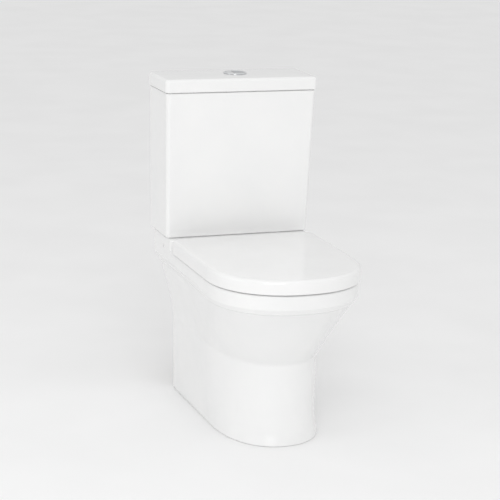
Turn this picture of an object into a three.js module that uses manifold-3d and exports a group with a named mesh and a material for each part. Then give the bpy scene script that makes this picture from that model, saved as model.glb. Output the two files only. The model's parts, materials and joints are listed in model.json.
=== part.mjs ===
// A close coupled toilet with a soft curved seat, a dual flush cistern and an open backed ceramic pan.
// Millimetres, +Z up, front towards -Y. Pieces are drawn with the wall plane at y = 0 and the floor at
// z = 0, and the finished group is shifted so that the origin is under the middle of the outer box.

import * as THREE from 'three';
import { mergeVertices } from 'three/addons/utils/BufferGeometryUtils.js';
import Module from 'manifold-3d';

const wasm = await Module();
wasm.setup();

// ---------------------------------------------------------------- driving dimensions

const GAP = 0.3;                    // clearance kept between pieces that touch
const DEPTH = 598;                  // wall to the front of the seat lid

// pan
const RIM_TOP = 386;
const PAN_BACK = -34;               // back plane of the pan's walls, in front of the wall
const DECK_BACK = -22;              // back plane of the rim band and of the platform under the cistern
const BAND_HALF = 178;              // half width of the rim band
const BAND_FRONT = 593;
const BAND_LOW = 352;               // lower edge of the band's upright face, at the front
const BAND_LOW_REAR = 359;
const CONE_TOP = 338;
const WAIST = 192;                  // height where the bowl's cone meets the column
const CHINA = 11;                   // thickness of the pottery
const PLATFORM_TOP = 414 - GAP;
const PLATFORM_FRONT = -158;
const PLATFORM_THICK = 16;
const BOWL_Y = -388;                // middle of the bowl opening
const BOWL_HALF = 131;
const BOWL_REACH = 160;
const RIM_LIP = 362;                // underside of the rim's inner lip
const OUTLET_Z = 185;
const OUTLET_R = 51;
const OUTLET_END = -42;
const TRAP_R = 36;
const TRAP_SIDES = 16;
const LUG_Y = -95;                  // the two floor fixing lugs
const LUG_TOP = 24;
const LUG_REACH = 24;
const LUG_INNER_X = 66;
const LUG_OUTER_X = 116;
const LUG_HOLE_X = 88;
const LUG_HOLE_R = 6;
const BOWL_POWER = 2.25;
const RIM_POWER = 2.2;
const RIM_STRAIGHT = 427;
const HOLLOW_TOP = 372;             // underside of the solid rim
const FLUSH_BLOCK = { half: 37, front: -226, back: -43, low: 327 };
const FLUSH_WAY = { half: 26, front: -236, back: -53, low: 338, high: HOLLOW_TOP };
const FLUSH_INLET_R = 27;
const FLUSH_INLET_LOW = 350;
const DOUGHNUT_SEAT_R = 46.5;
const NOTCH_HALF = 25;
const NOTCH_REACH = 28;
const DIMPLE_R = 3.2;
const DIMPLE_DEPTH = 5;
const DIMPLE_Y = -104;
const DIMPLE_Z = 388;

// cistern
const TANK_BOTTOM = 414;
const TANK_TOP = 767;
const TANK_HALF_LOW = 181.5;
const TANK_HALF_TOP = 189.5;
const TANK_DEEP_LOW = 139.3;
const TANK_DEEP_TOP = 143.5;
const TANK_WALL = 9;
const VALVE_HOLE_R = 30.5;
const INLET_HOLE_R = 11;
const LID_HALF = 192.5;
const LID_DEEP = 146.5;
const LID_THICK = 31.4;
const LID_TOP = TANK_TOP + GAP + LID_THICK;

// flush button and valve
const BUTTON_X = 8;
const BUTTON_Y = -64;
const BUTTON_R = 22;
const BEZEL_R = 28.5;
const SLEEVE_R = 24.8;              // the bezel's threaded sleeve, which passes through the lid
const SLEEVE_BORE = 22.6;
const VALVE_Y = -80;
const BASKET_R = 38;
const TUBE_R = 17;
const COLLAR_Z = 661;
const LEVER_Z = 656;                // height of the rocker levers' pivots
const PIVOT_Y = -62;
const PAD_Y = -52;
const ROD_SPREAD = 10;              // each push rod stands this far from the buttons' middle
const COLLAR_R = 24;

// fill valve
const FILL_X = 132;
const FILL_Y = -72;
const FLOAT_LOW = 556;
const ARM_Z = 652;
const ARM_LENGTH = 40;
const ARM_TILT = THREE.MathUtils.degToRad(20);

// coupling
const BOLT_X = 80;
const BOLT_HOLE_R = 5;
const SEAT_BOLT_HOLE_R = 6.5;

// seat
const SEAT_HALF = 181.5;
const SEAT_FRONT = 598;
const SEAT_STRAIGHT = 427;
const SEAT_POWER = 2.2;
const SEAT_TOP = 421;
const SKIRT_LOW = 388;
const SEAT_BACK = -178;
const HINGE_Y = -193;
const HINGE_Z = 406;
const HINGE_X = 77.5;
const KNUCKLE_R = 8;
const PIN_R = 3.5;
const PIN_HOLE_R = 3.9;
const LID_KNUCKLE = [52, 65];       // where each knuckle, ear and pin lies, out from the middle
const RING_EAR = [91, 104];
const PIN_SPAN = [50, 106];
const POST_HALF = 10;
const RING_HALF = 173;
const RING_FRONT = 589;
const SEAT_HOLE = { y: -394, half: 112, reach: 144, power: 2.2 };

const HANDS = [['left', -1], ['right', 1]];

// A span given outwards from the middle, placed on one side and put in rising order.
const sided = (side, [near, far]) => [side * near, side * far].sort((a, b) => a - b);

// ---------------------------------------------------------------- materials

const material = (color, roughness, metalness = 0) =>
  new THREE.MeshStandardMaterial({ color, roughness, metalness });

const china = material(0xf4f4f2, 0.12);
const duroplast = material(0xf3f3f1, 0.2);
const chrome = material(0xc9ccd0, 0.12, 1);
const satin = material(0x9fa3a8, 0.3, 1);
const whitePlastic = material(0xe9e9e6, 0.45);
const bluePlastic = material(0x3f6f9f, 0.45);
const greyPlastic = material(0x9a9ea2, 0.5);
const rubber = material(0x2b2b2b, 0.8);
const foam = material(0x3a3a3c, 0.95);
const steel = material(0xb6b8ba, 0.3, 1);

// ---------------------------------------------------------------- solids and booleans

function solid(geometry) {
  const bare = geometry.clone();
  bare.deleteAttribute('normal');
  bare.deleteAttribute('uv');
  const merged = mergeVertices(bare, 1e-4);
  return new wasm.Manifold(new wasm.Mesh({
    numProp: 3,
    vertProperties: new Float32Array(merged.attributes.position.array),
    triVerts: new Uint32Array(merged.index.array),
  }));
}

const join = (...pieces) => pieces.reduce((whole, piece) => whole.add(piece));
const cut = (body, ...tools) => tools.reduce((whole, tool) => whole.subtract(tool), body);

function toGeometry(manifold) {
  const mesh = manifold.getMesh();
  const geometry = new THREE.BufferGeometry();
  geometry.setAttribute('position', new THREE.BufferAttribute(mesh.vertProperties, 3));
  geometry.setIndex(new THREE.BufferAttribute(mesh.triVerts, 1));
  const welded = mergeVertices(geometry, 1e-4);
  welded.computeVertexNormals();
  return welded;
}

function box(x, y, z) {
  const geometry = new THREE.BoxGeometry(x[1] - x[0], y[1] - y[0], z[1] - z[0]);
  geometry.translate((x[0] + x[1]) / 2, (y[0] + y[1]) / 2, (z[0] + z[1]) / 2);
  return solid(geometry);
}

// Turned about a vertical axis through (x, y); the profile is closed on itself or ends on the axis.
function turned(profile, x, y, segments = 16) {
  const points = profile.map(([r, z]) => new THREE.Vector2(r, z));
  const geometry = new THREE.LatheGeometry(points, segments);
  geometry.rotateX(Math.PI / 2);
  geometry.translate(x, y, 0);
  return solid(geometry);
}

function rod(r, x, y, z0, z1, segments = 12) {
  return turned([[0, z0], [r, z0], [r, z1], [0, z1]], x, y, segments);
}

function ring(inner, outer, x, y, z0, z1, segments = 16) {
  return turned([[inner, z0], [outer, z0], [outer, z1], [inner, z1], [inner, z0]], x, y, segments);
}

function rodX(r, x0, x1, y, z, segments = 16) {
  const geometry = new THREE.CylinderGeometry(r, r, x1 - x0, segments);
  geometry.rotateZ(Math.PI / 2);
  geometry.translate((x0 + x1) / 2, y, z);
  return solid(geometry);
}

function rodY(r, y0, y1, x, z, segments = 16) {
  const geometry = new THREE.CylinderGeometry(r, r, y1 - y0, segments);
  geometry.translate(x, (y0 + y1) / 2, z);
  return solid(geometry);
}

// Skins equal rings of points, bottom ring first, each running anticlockwise seen from the far end.
function skin(rings) {
  const count = rings[0].length;
  const positions = rings.flat().flatMap((p) => [p.x, p.y, p.z]);
  const triangles = [];
  for (let level = 0; level < rings.length - 1; level += 1) {
    for (let i = 0; i < count; i += 1) {
      const a = level * count + i;
      const b = level * count + ((i + 1) % count);
      triangles.push(a, b, b + count, a, b + count, a + count);
    }
  }
  const capMiddle = (points) => {
    const middle = points.reduce((sum, p) => sum.add(p), new THREE.Vector3()).divideScalar(count);
    positions.push(middle.x, middle.y, middle.z);
    return positions.length / 3 - 1;
  };
  const low = capMiddle(rings[0]);
  const high = capMiddle(rings[rings.length - 1]);
  const top = (rings.length - 1) * count;
  for (let i = 0; i < count; i += 1) {
    const next = (i + 1) % count;
    triangles.push(low, next, i);
    triangles.push(high, top + i, top + next);
  }
  const geometry = new THREE.BufferGeometry();
  geometry.setAttribute('position', new THREE.Float32BufferAttribute(positions, 3));
  geometry.setIndex(triangles);
  return solid(geometry);
}

// ---------------------------------------------------------------- outlines

const mix = (a, b, t) => a + (b - a) * t;
const SIDE_STEPS = 6;
const SWELL_BACK = 200;             // in front of this depth the bowl's cone swells out from the flanks

// A D outline at one height: sides from the back to `straight`, then a rounded nose. Sides that are
// narrower at the rear swell smoothly to their full half width.
function dRing({ z, half, front, straight, power, rear = half, back = PAN_BACK, corner = 6, nose = 22 }) {
  const points = [];
  const arc = (cx, cy, from) => {
    for (let i = 0; i <= 2; i += 1) {
      const angle = from + (i * Math.PI) / 4;
      points.push(new THREE.Vector3(cx + corner * Math.cos(angle), cy + corner * Math.sin(angle), z));
    }
  };
  const side = (hand, step) => {
    const y = mix(back, -straight, step / SIDE_STEPS);
    const swell = THREE.MathUtils.smoothstep(-y, SWELL_BACK, straight);
    points.push(new THREE.Vector3(hand * mix(rear, half, swell), y, z));
  };
  arc(rear - corner, back - corner, 0);
  arc(-rear + corner, back - corner, Math.PI / 2);
  for (let step = 2; step < SIDE_STEPS; step += 1) side(-1, step);
  const reach = front - straight;
  for (let i = 0; i <= nose; i += 1) {
    const angle = -Math.PI / 2 + (i * Math.PI) / nose;
    const across = Math.sign(Math.sin(angle)) * Math.abs(Math.sin(angle)) ** (2 / power);
    const along = Math.abs(Math.cos(angle)) ** (2 / power);
    points.push(new THREE.Vector3(half * across, -straight - reach * along, z));
  }
  for (let step = SIDE_STEPS - 1; step > 1; step -= 1) side(1, step);
  return points;
}

// A closed superellipse at one height.
function ovalRing(z, y, half, reach, power, count = 24) {
  const points = [];
  for (let i = 0; i < count; i += 1) {
    const angle = (i / count) * Math.PI * 2;
    const c = Math.cos(angle);
    const s = Math.sin(angle);
    const x = half * Math.sign(c) * Math.abs(c) ** (2 / power);
    points.push(new THREE.Vector3(x, y + reach * Math.sign(s) * Math.abs(s) ** (2 / power), z));
  }
  return points;
}

// A rounded rectangle at one height, from y = back to y = -deep.
function blockRing(z, half, deep, corner, back = 0) {
  const points = [];
  const corners = [[half, back, 0], [-half, back, 1], [-half, -deep, 2], [half, -deep, 3]];
  for (const [x, y, quarter] of corners) {
    const cx = x - Math.sign(x) * corner;
    const cy = quarter < 2 ? y - corner : y + corner;
    for (let i = 0; i <= 4; i += 1) {
      const angle = (quarter + i / 4) * (Math.PI / 2);
      points.push(new THREE.Vector3(cx + corner * Math.cos(angle), cy + corner * Math.sin(angle), z));
    }
  }
  return points;
}

// ---------------------------------------------------------------- pan

// One outer station of the pan; `rear` is its half width behind the swell.
function panSection(z, half, front, straight, power, rear = half, back = PAN_BACK) {
  return { z, half, front, straight, power, rear, back };
}

function coneSection(z) {
  const t = (z - WAIST) / (CONE_TOP - WAIST);
  const half = mix(127.6, 172, t);
  const rear = 127.6 + 18.6 * (t + t * t);
  return panSection(z, half, mix(492, 586, t), mix(290, 420, t), mix(2.1, 2.2, t), rear);
}

const PAN_SECTIONS = [
  panSection(0, 122.5, 505, 318, 2.25),
  panSection(3, 124, 507.5, 320, 2.25),
  panSection(10, 124, 505, 316, 2.22),
  panSection(25, 124.2, 500.5, 305, 2.17),
  panSection(60, 124.6, 496.5, 294, 2.12),
  panSection(WAIST - 8, 127.2, 492.6, 290, 2.1),
  panSection(WAIST, 127.8, 493.6, 290.5, 2.1),
  ...[210, 240, 275, 310, CONE_TOP - 2].map(coneSection),
  panSection(345, 174.5, 589, 424, 2.2, 167.5, -33),
  panSection(BAND_LOW, BAND_HALF, BAND_FRONT, RIM_STRAIGHT, RIM_POWER, 172.5, -27.5),
  panSection(BAND_LOW_REAR, BAND_HALF, BAND_FRONT, RIM_STRAIGHT, RIM_POWER, BAND_HALF, DECK_BACK),
  panSection(RIM_TOP - 5, BAND_HALF, BAND_FRONT, RIM_STRAIGHT, RIM_POWER, BAND_HALF, DECK_BACK),
  ...[[1.5, 1.5], [0, 5]].map(([drop, inset]) => panSection(
    RIM_TOP - drop, BAND_HALF - inset, BAND_FRONT - inset, RIM_STRAIGHT, RIM_POWER, BAND_HALF - inset, DECK_BACK,
  )),
];

function makePan() {
  const outer = skin(PAN_SECTIONS.map((section) => dRing(section)));

  const hollowSections = PAN_SECTIONS.filter(({ z }) => z > 2 && z < HOLLOW_TOP);
  const inner = (section) => dRing({
    ...section,
    half: section.half - CHINA - 1,
    rear: section.rear - CHINA - 1,
    front: section.front - CHINA - 1,
    back: DECK_BACK + 20,
    nose: 18,
  });
  const floorRing = inner({ ...PAN_SECTIONS[1], z: -1 });
  const topRing = inner({ ...PAN_SECTIONS[PAN_SECTIONS.length - 3], z: HOLLOW_TOP });
  const hollow = skin([floorRing, ...hollowSections.map(inner), topRing]);

  const platform = skin([
    [362, BAND_HALF], [PLATFORM_TOP - 5, BAND_HALF], [PLATFORM_TOP - 1.5, BAND_HALF - 1.5],
    [PLATFORM_TOP, BAND_HALF - 5],
  ].map(([z, half]) => blockRing(z, half, -PLATFORM_FRONT - (BAND_HALF - half), 7, DECK_BACK)));
  const underPlatform = box(
    [-BAND_HALF + CHINA + 1, BAND_HALF - CHINA - 1],
    [PLATFORM_FRONT + 14, DECK_BACK + 20],
    [360, PLATFORM_TOP - PLATFORM_THICK],
  );

  const bowlStations = [
    [RIM_TOP + 1, BOWL_Y, BOWL_HALF, BOWL_REACH],
    [RIM_LIP, BOWL_Y, BOWL_HALF, BOWL_REACH],
    [RIM_LIP - 1, BOWL_Y, BOWL_HALF + 9, BOWL_REACH + 9],
    [330, BOWL_Y, BOWL_HALF + 9, BOWL_REACH + 8],
    [296, -386, 133, 160],
    [262, -381, 117, 143],
    [228, -374, 96, 119],
    [196, -366, 76, 92],
    [165, -357, 60, 70],
    [135, -348, 50, 56],
    [112, -341, 41, 45],
    [98, -336, 26, 29],
  ];
  const bowlRing = (grow, drop) => ([z, y, half, reach]) =>
    ovalRing(z - drop, y, half + grow, reach + grow, BOWL_POWER);
  const bowl = skin(bowlStations.map(bowlRing(0, 0)).reverse());
  const shellStations = [[RIM_TOP + CHINA - 5, ...bowlStations[3].slice(1)], ...bowlStations.slice(3)];
  const bowlShell = skin(shellStations.map(bowlRing(CHINA, CHINA)).reverse());

  const trapPath = new THREE.CatmullRomCurve3([
    new THREE.Vector3(0, -352, 150),
    new THREE.Vector3(0, -322, 112),
    new THREE.Vector3(0, -270, 100),
    new THREE.Vector3(0, -222, 126),
    new THREE.Vector3(0, -196, 184),
    new THREE.Vector3(0, -160, 214),
    new THREE.Vector3(0, -118, 203),
    new THREE.Vector3(0, -90, OUTLET_Z),
    new THREE.Vector3(0, -40, OUTLET_Z),
  ], false, 'catmullrom', 0.5);
  const trapRings = (radius, steps, extra) => {
    const rings = [];
    for (let i = 0; i <= steps; i += 1) {
      const t = i / steps;
      const at = trapPath.getPoint(t);
      const along = trapPath.getTangent(t);
      const up = new THREE.Vector3(0, -along.z, along.y);
      if (i === steps) at.y += extra;
      const r = radius(t);
      rings.push(Array.from({ length: TRAP_SIDES }, (_, k) => {
        const angle = (k / TRAP_SIDES) * Math.PI * 2;
        return new THREE.Vector3(-r * Math.cos(angle), at.y + up.y * r * Math.sin(angle),
          at.z + up.z * r * Math.sin(angle));
      }));
    }
    return rings;
  };
  const bore = (t) => mix(TRAP_R, OUTLET_R - CHINA, THREE.MathUtils.smoothstep(t, 0.55, 0.95));
  const trap = skin(trapRings(bore, 12, 12));
  const trapShell = skin(trapRings((t) => bore(t) + CHINA, 12, OUTLET_END + 40));

  const flushBlock = box(
    [-FLUSH_BLOCK.half, FLUSH_BLOCK.half],
    [FLUSH_BLOCK.front, FLUSH_BLOCK.back],
    [FLUSH_BLOCK.low, RIM_TOP - 4],
  );
  const flushWay = join(
    box(
      [-FLUSH_WAY.half, FLUSH_WAY.half],
      [FLUSH_WAY.front, FLUSH_WAY.back],
      [FLUSH_WAY.low, FLUSH_WAY.high],
    ),
    rod(FLUSH_INLET_R, 0, VALVE_Y, FLUSH_INLET_LOW, PLATFORM_TOP + 1, 28),
    rod(DOUGHNUT_SEAT_R, 0, VALVE_Y, PLATFORM_TOP - PLATFORM_THICK, PLATFORM_TOP + 1, 28),
  );

  const lugs = [-1, 1].map((side) => {
    const span = sided(side, [LUG_INNER_X, LUG_OUTER_X]);
    const lug = box(span, [LUG_Y - LUG_REACH, LUG_Y + LUG_REACH], [0, LUG_TOP]);
    return cut(lug, rod(LUG_HOLE_R, side * LUG_HOLE_X, LUG_Y, -1, LUG_TOP + 1, 20));
  });

  const notches = [-1, 1].map((side) => box(
    [side * FILL_X - NOTCH_HALF, side * FILL_X + NOTCH_HALF],
    [FILL_Y - NOTCH_REACH, DECK_BACK + 10],
    [PLATFORM_TOP - PLATFORM_THICK - 1, PLATFORM_TOP + 1],
  ));
  const boltHoles = [-1, 1].flatMap((side) => [
    rod(BOLT_HOLE_R, side * BOLT_X, VALVE_Y, PLATFORM_TOP - 30, PLATFORM_TOP + 1, 20),
    rod(SEAT_BOLT_HOLE_R, side * HINGE_X, HINGE_Y, 350, RIM_TOP + 1, 20),
  ]);
  const dimples = [-1, 1].map((side) => {
    const span = sided(side, [BAND_HALF - DIMPLE_DEPTH, BAND_HALF + 1]);
    return rodX(DIMPLE_R, ...span, DIMPLE_Y, DIMPLE_Z, 16);
  });

  const walls = cut(join(outer, platform), hollow, underPlatform);
  const inside = join(bowlShell, trapShell, flushBlock).intersect(join(outer, platform));
  return cut(join(walls, inside, ...lugs), bowl, trap, flushWay, ...notches, ...boltHoles, ...dimples);
}

// ---------------------------------------------------------------- cistern

function tankRing(z, inset, corner) {
  const t = (z - TANK_BOTTOM) / (TANK_TOP - TANK_BOTTOM);
  const half = mix(TANK_HALF_LOW, TANK_HALF_TOP, t) - inset;
  return blockRing(z, half, mix(TANK_DEEP_LOW, TANK_DEEP_TOP, t) - inset, corner, -inset);
}

function makeTank() {
  const outer = skin([
    tankRing(TANK_BOTTOM, 4, 5), tankRing(TANK_BOTTOM + 1.3, 1.5, 7), tankRing(TANK_BOTTOM + 4, 0, 8),
    tankRing(TANK_TOP - 2, 0, 8), tankRing(TANK_TOP, 1.5, 7),
  ]);
  const inner = skin([
    tankRing(TANK_BOTTOM + 10, TANK_WALL + 5, 12), tankRing(TANK_BOTTOM + 16, TANK_WALL, 14),
    tankRing(TANK_TOP + 1, TANK_WALL, 14),
  ]);
  const holes = [
    rod(VALVE_HOLE_R, 0, VALVE_Y, TANK_BOTTOM - 1, TANK_BOTTOM + 20, 28),
    rod(INLET_HOLE_R, FILL_X, FILL_Y, TANK_BOTTOM - 1, TANK_BOTTOM + 20, 20),
    ...[-1, 1].map((side) => rod(BOLT_HOLE_R, side * BOLT_X, VALVE_Y, TANK_BOTTOM - 1, TANK_BOTTOM + 20, 20)),
  ];
  return cut(outer, inner, ...holes);
}

function makeCisternLid() {
  const low = TANK_TOP + GAP;
  const lidRing = (z, inset, corner) => blockRing(z, LID_HALF - inset, LID_DEEP - inset, corner, -inset / 3);
  const outer = skin([
    lidRing(low, 1.5, 7), lidRing(low + 2, 0, 8), lidRing(LID_TOP - 6, 0, 8),
    lidRing(LID_TOP - 2, 1.8, 8), lidRing(LID_TOP, 6, 7),
  ]);
  const recess = skin([
    blockRing(low - 1, LID_HALF - 13, LID_DEEP - 13, 9, -13),
    blockRing(LID_TOP - 11, LID_HALF - 13, LID_DEEP - 13, 9, -13),
  ]);
  // A lip that drops inside the tank's mouth and keeps the lid from sliding.
  const lip = cut(
    skin([blockRing(low - 10, LID_HALF - 15, LID_DEEP - 15, 8, -11.5),
      blockRing(low + 8, LID_HALF - 15, LID_DEEP - 15, 8, -11.5)]),
    skin([blockRing(low - 11, LID_HALF - 19, LID_DEEP - 19, 6, -15.5),
      blockRing(low + 9, LID_HALF - 19, LID_DEEP - 19, 6, -15.5)]),
  );
  const hole = rod(SLEEVE_R + 0.6, BUTTON_X, BUTTON_Y, LID_TOP - 30, LID_TOP + 1, 20);
  return cut(join(cut(outer, recess), lip), hole);
}

// ---------------------------------------------------------------- dual flush button

const BEZEL_TOP = LID_TOP + 3.2;

function makeBezel() {
  return turned([
    [SLEEVE_BORE, LID_TOP - 24], [SLEEVE_R, LID_TOP - 24], [SLEEVE_R, LID_TOP + GAP],
    [BEZEL_R, LID_TOP + GAP], [BEZEL_R, BEZEL_TOP - 1.6], [BEZEL_R - 1.4, BEZEL_TOP],
    [SLEEVE_BORE + 0.8, BEZEL_TOP], [SLEEVE_BORE, BEZEL_TOP - 0.8], [SLEEVE_BORE, LID_TOP - 24],
  ], BUTTON_X, BUTTON_Y, 28);
}

// The two buttons share a disc, split by a straight line off its middle, and slide in the sleeve.
const SPLIT_X = BUTTON_X - 4;
const BUTTON_LOW = LID_TOP - 8;

function makeButton(side) {
  const puck = turned([
    [0, BUTTON_LOW], [BUTTON_R, BUTTON_LOW], [BUTTON_R, BEZEL_TOP - 1.2], [BUTTON_R - 1.6, BEZEL_TOP - 0.2],
    [0, BEZEL_TOP + 0.4],
  ], BUTTON_X, BUTTON_Y, 28);
  const reach = 40;
  const across = side < 0 ? [SPLIT_X - reach, SPLIT_X - 0.4] : [SPLIT_X + 0.4, SPLIT_X + 2 * reach];
  return puck.intersect(box(across, [BUTTON_Y - reach, BUTTON_Y + reach], [BUTTON_LOW - 2, BEZEL_TOP + 2]));
}

const ROD_LOW = LEVER_Z + 5;
const LEVER_HUB_R = 5;
const FULL_ROD_X = BUTTON_X + ROD_SPREAD;
const HALF_ROD_X = BUTTON_X - ROD_SPREAD;

function makeRod(x) {
  const top = BUTTON_LOW - GAP;
  return turned([
    [0, ROD_LOW], [2.6, ROD_LOW], [3, ROD_LOW + 1], [3, top - 4], [4, top - 3], [4, top], [0, top],
  ], x, PAD_Y, 16);
}

function makeButtonNut() {
  return cut(
    rod(33, BUTTON_X, BUTTON_Y, LID_TOP - 19, LID_TOP - 11 - GAP, 12),
    rod(SLEEVE_R + GAP, BUTTON_X, BUTTON_Y, LID_TOP - 20, LID_TOP, 28),
  );
}

// ---------------------------------------------------------------- flush valve

const VALVE_FLOOR = TANK_BOTTOM + 10 + GAP;
const SEAT_RING_Z = VALVE_FLOOR + 9;
const CROWN_Z = 566;

function makeBasket() {
  const flange = ring(24, BASKET_R, 0, VALVE_Y, VALVE_FLOOR + 3.5, SEAT_RING_Z, 20);
  const tail = ring(24, 27.5, 0, VALVE_Y, 399, SEAT_RING_Z, 20);
  const cage = cut(
    ring(BASKET_R - 3, BASKET_R, 0, VALVE_Y, SEAT_RING_Z - 1, CROWN_Z, 20),
    ...[0, 1, 2].map((k) => {
      const window = box([-60, 60], [-11, 11], [SEAT_RING_Z + 2, SEAT_RING_Z + 62]);
      return window.rotate([0, 0, 60 * k + 30]).translate([0, VALVE_Y, 0]);
    }),
  );
  const crown = ring(TUBE_R + 1.2, BASKET_R, 0, VALVE_Y, CROWN_Z - 4, CROWN_Z, 20);
  const posts = [-1, 1].map((side) => cut(
    box(side < 0 ? [-36, -30] : [30, 36], [-72, -54], [CROWN_Z - 4, LEVER_Z + 6]),
    rodX(PIN_R - 1, side * 40 - 10, side * 40 + 10, PIVOT_Y, LEVER_Z),
  ));
  const tie = cut(
    box([-36, 36], [-72, -62], [600, 606]),
    rod(TUBE_R + 1.4, 0, VALVE_Y, 590, 620, 20),
  );
  return join(flange, tail, cage, crown, ...posts, tie);
}

function makeLiftTube() {
  const foot = SEAT_RING_Z + 4.6;
  return turned([
    [TUBE_R - 2, foot], [30, foot], [30, foot + 3], [TUBE_R, foot + 10], [TUBE_R, COLLAR_Z],
    [COLLAR_R, COLLAR_Z], [COLLAR_R, COLLAR_Z + 3], [TUBE_R, COLLAR_Z + 3], [TUBE_R, COLLAR_Z + 22],
    [TUBE_R - 2, COLLAR_Z + 22], [TUBE_R - 2, foot],
  ], 0, VALVE_Y, 20);
}

// Rocker under the full flush rod: its pad goes down and its finger lifts the tube's collar.
function makeFullLever() {
  const bar = [18.5, 25.5];
  const body = join(
    box(bar, [VALVE_Y - 4, PAD_Y + 5], [LEVER_Z - 0.5, LEVER_Z + 3]),
    box([14, bar[1]], [PAD_Y - 5, PAD_Y + 5], [LEVER_Z, LEVER_Z + 3]),
    rodX(LEVER_HUB_R, bar[0], bar[1], PIVOT_Y, LEVER_Z),
  );
  return cut(body, rodX(PIN_R - 0.6, bar[0] - 5, bar[1] + 5, PIVOT_Y, LEVER_Z));
}

// Trigger under the half flush rod: its tail swings forward to release the early closing catch.
function makeHalfLever() {
  const bar = [-25.5, -18.5];
  const body = join(
    box([bar[0], 2], [PAD_Y - 5, PAD_Y + 5], [LEVER_Z, LEVER_Z + 3]),
    box(bar, [PIVOT_Y, PAD_Y], [LEVER_Z, LEVER_Z + 3]),
    box(bar, [PIVOT_Y - 3, PIVOT_Y + 3], [LEVER_Z - 32, LEVER_Z]),
    rodX(LEVER_HUB_R, bar[0], bar[1], PIVOT_Y, LEVER_Z),
  );
  return cut(body, rodX(PIN_R - 0.6, bar[0] - 5, bar[1] + 5, PIVOT_Y, LEVER_Z));
}

// ---------------------------------------------------------------- fill valve

const RISER_TOP = 668;
const INLET_LOW = 366;
const ARM_Y = FILL_Y - 20;
const ARM_PIVOT_X = FILL_X + 18;

function makeFillBody() {
  const x = FILL_X;
  const y = FILL_Y;
  const riser = turned([
    [0, RISER_TOP - 10], [6, RISER_TOP - 10], [6, INLET_LOW], [10, INLET_LOW],
    [10, VALVE_FLOOR + 2.5], [16, VALVE_FLOOR + 2.5], [16, VALVE_FLOOR + 8], [9, VALVE_FLOOR + 12],
    [9, RISER_TOP - 34], [16, RISER_TOP - 30], [16, RISER_TOP - 3], [13, RISER_TOP], [0, RISER_TOP],
  ], x, y, 20);
  const bracket = join(
    box([ARM_PIVOT_X - 5, ARM_PIVOT_X + 5], [ARM_Y + 4, y - 4], [ARM_Z - 6, ARM_Z + 6]),
    box([x - 2, ARM_PIVOT_X + 5], [y - 16, y - 4], [ARM_Z - 6, ARM_Z + 6]),
  );
  const pivot = rodY(2.5, ARM_Y - 5, ARM_Y + 6, ARM_PIVOT_X, ARM_Z);
  const outlet = join(
    box([x + 8, x + 22], [y - 2, y + 12], [RISER_TOP - 20, RISER_TOP - 8]),
    rod(6, x + 20, y + 5, RISER_TOP - 30, RISER_TOP - 8, 16),
  );
  const body = join(riser, bracket, pivot, outlet);
  return cut(body, rod(4, x + 20, y + 5, RISER_TOP - 31, RISER_TOP - 12, 16),
    rodX(2.5, x + 2, x + 20, y + 5, RISER_TOP - 14));
}

function makeFloat() {
  const x = FILL_X;
  const y = FILL_Y;
  const z = FLOAT_LOW;
  const cup = turned([
    [10.5, z], [27, z], [28, z + 2], [28, z + 48], [26, z + 50], [10.5, z + 50], [10.5, z],
  ], x, y, 20);
  // The cup is open underneath, so trapped air gives it its lift.
  const underside = ring(13, 25, x, y, z - 1, z + 40, 20);
  const flat = box([x - 40, x + 40], [y + 22, y + 40], [z - 2, z + 60]);
  return cut(cup, underside, flat);
}

// The link stands on the float's top and passes through the arm's slot.
const LINK_X = ARM_PIVOT_X - ARM_LENGTH * Math.cos(ARM_TILT);
const ARM_END_Z = ARM_Z - ARM_LENGTH * Math.sin(ARM_TILT);

function makeFloatLink() {
  const x = LINK_X + 1;
  const foot = box([x - 4, x + 4], [ARM_Y - 4, ARM_Y + 4], [FLOAT_LOW + 50 + GAP, FLOAT_LOW + 53]);
  return join(foot, rod(1.8, x, ARM_Y, FLOAT_LOW + 52, ARM_END_Z + 9, 12),
    rod(4.4, x, ARM_Y, ARM_END_Z + 4.5, ARM_END_Z + 8, 12),
    rod(4.4, x, ARM_Y, ARM_END_Z - 9, ARM_END_Z - 5.5, 12));
}

function makeFloatArm() {
  const bar = cut(
    join(box([-ARM_LENGTH - 6, 4], [-3, 3], [-2, 2]), rodY(5, -3, 3, 0, 0)),
    rodY(3, -4, 4, 0, 0),
    box([-ARM_LENGTH - 3.2, -ARM_LENGTH + 6.5], [-2.3, 2.3], [-4, 4]),
  );
  return bar.rotate([0, -THREE.MathUtils.radToDeg(ARM_TILT), 0]).translate([ARM_PIVOT_X, ARM_Y, ARM_Z]);
}

// ---------------------------------------------------------------- coupling kit

function nut(r, hole, x, y, z0, z1) {
  return cut(rod(r, x, y, z0, z1, 6), rod(hole, x, y, z0 - 1, z1 + 1, 20));
}

function wingNut(x, y, z0, hole) {
  const body = join(
    rod(9, x, y, z0, z0 + 10, 16),
    box([x - 19, x - 6], [y - 2, y + 2], [z0, z0 + 8]),
    box([x + 6, x + 19], [y - 2, y + 2], [z0, z0 + 8]),
  );
  return cut(body, rod(hole, x, y, z0 - 1, z0 + 11, 16));
}

function bolt(r, headR, x, y, z0, z1, head) {
  return turned([[0, z0], [r, z0], [r, z1], [headR, z1], [headR, z1 + head], [0, z1 + head]], x, y, 16);
}

const PLATFORM_LOW = PLATFORM_TOP - PLATFORM_THICK;

// ---------------------------------------------------------------- seat

function seatRing(z, inset) {
  return dRing({
    z,
    half: SEAT_HALF - inset,
    front: SEAT_FRONT - inset,
    straight: SEAT_STRAIGHT,
    power: SEAT_POWER,
    back: SEAT_BACK,
    corner: 9,
    nose: 24,
  });
}

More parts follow.
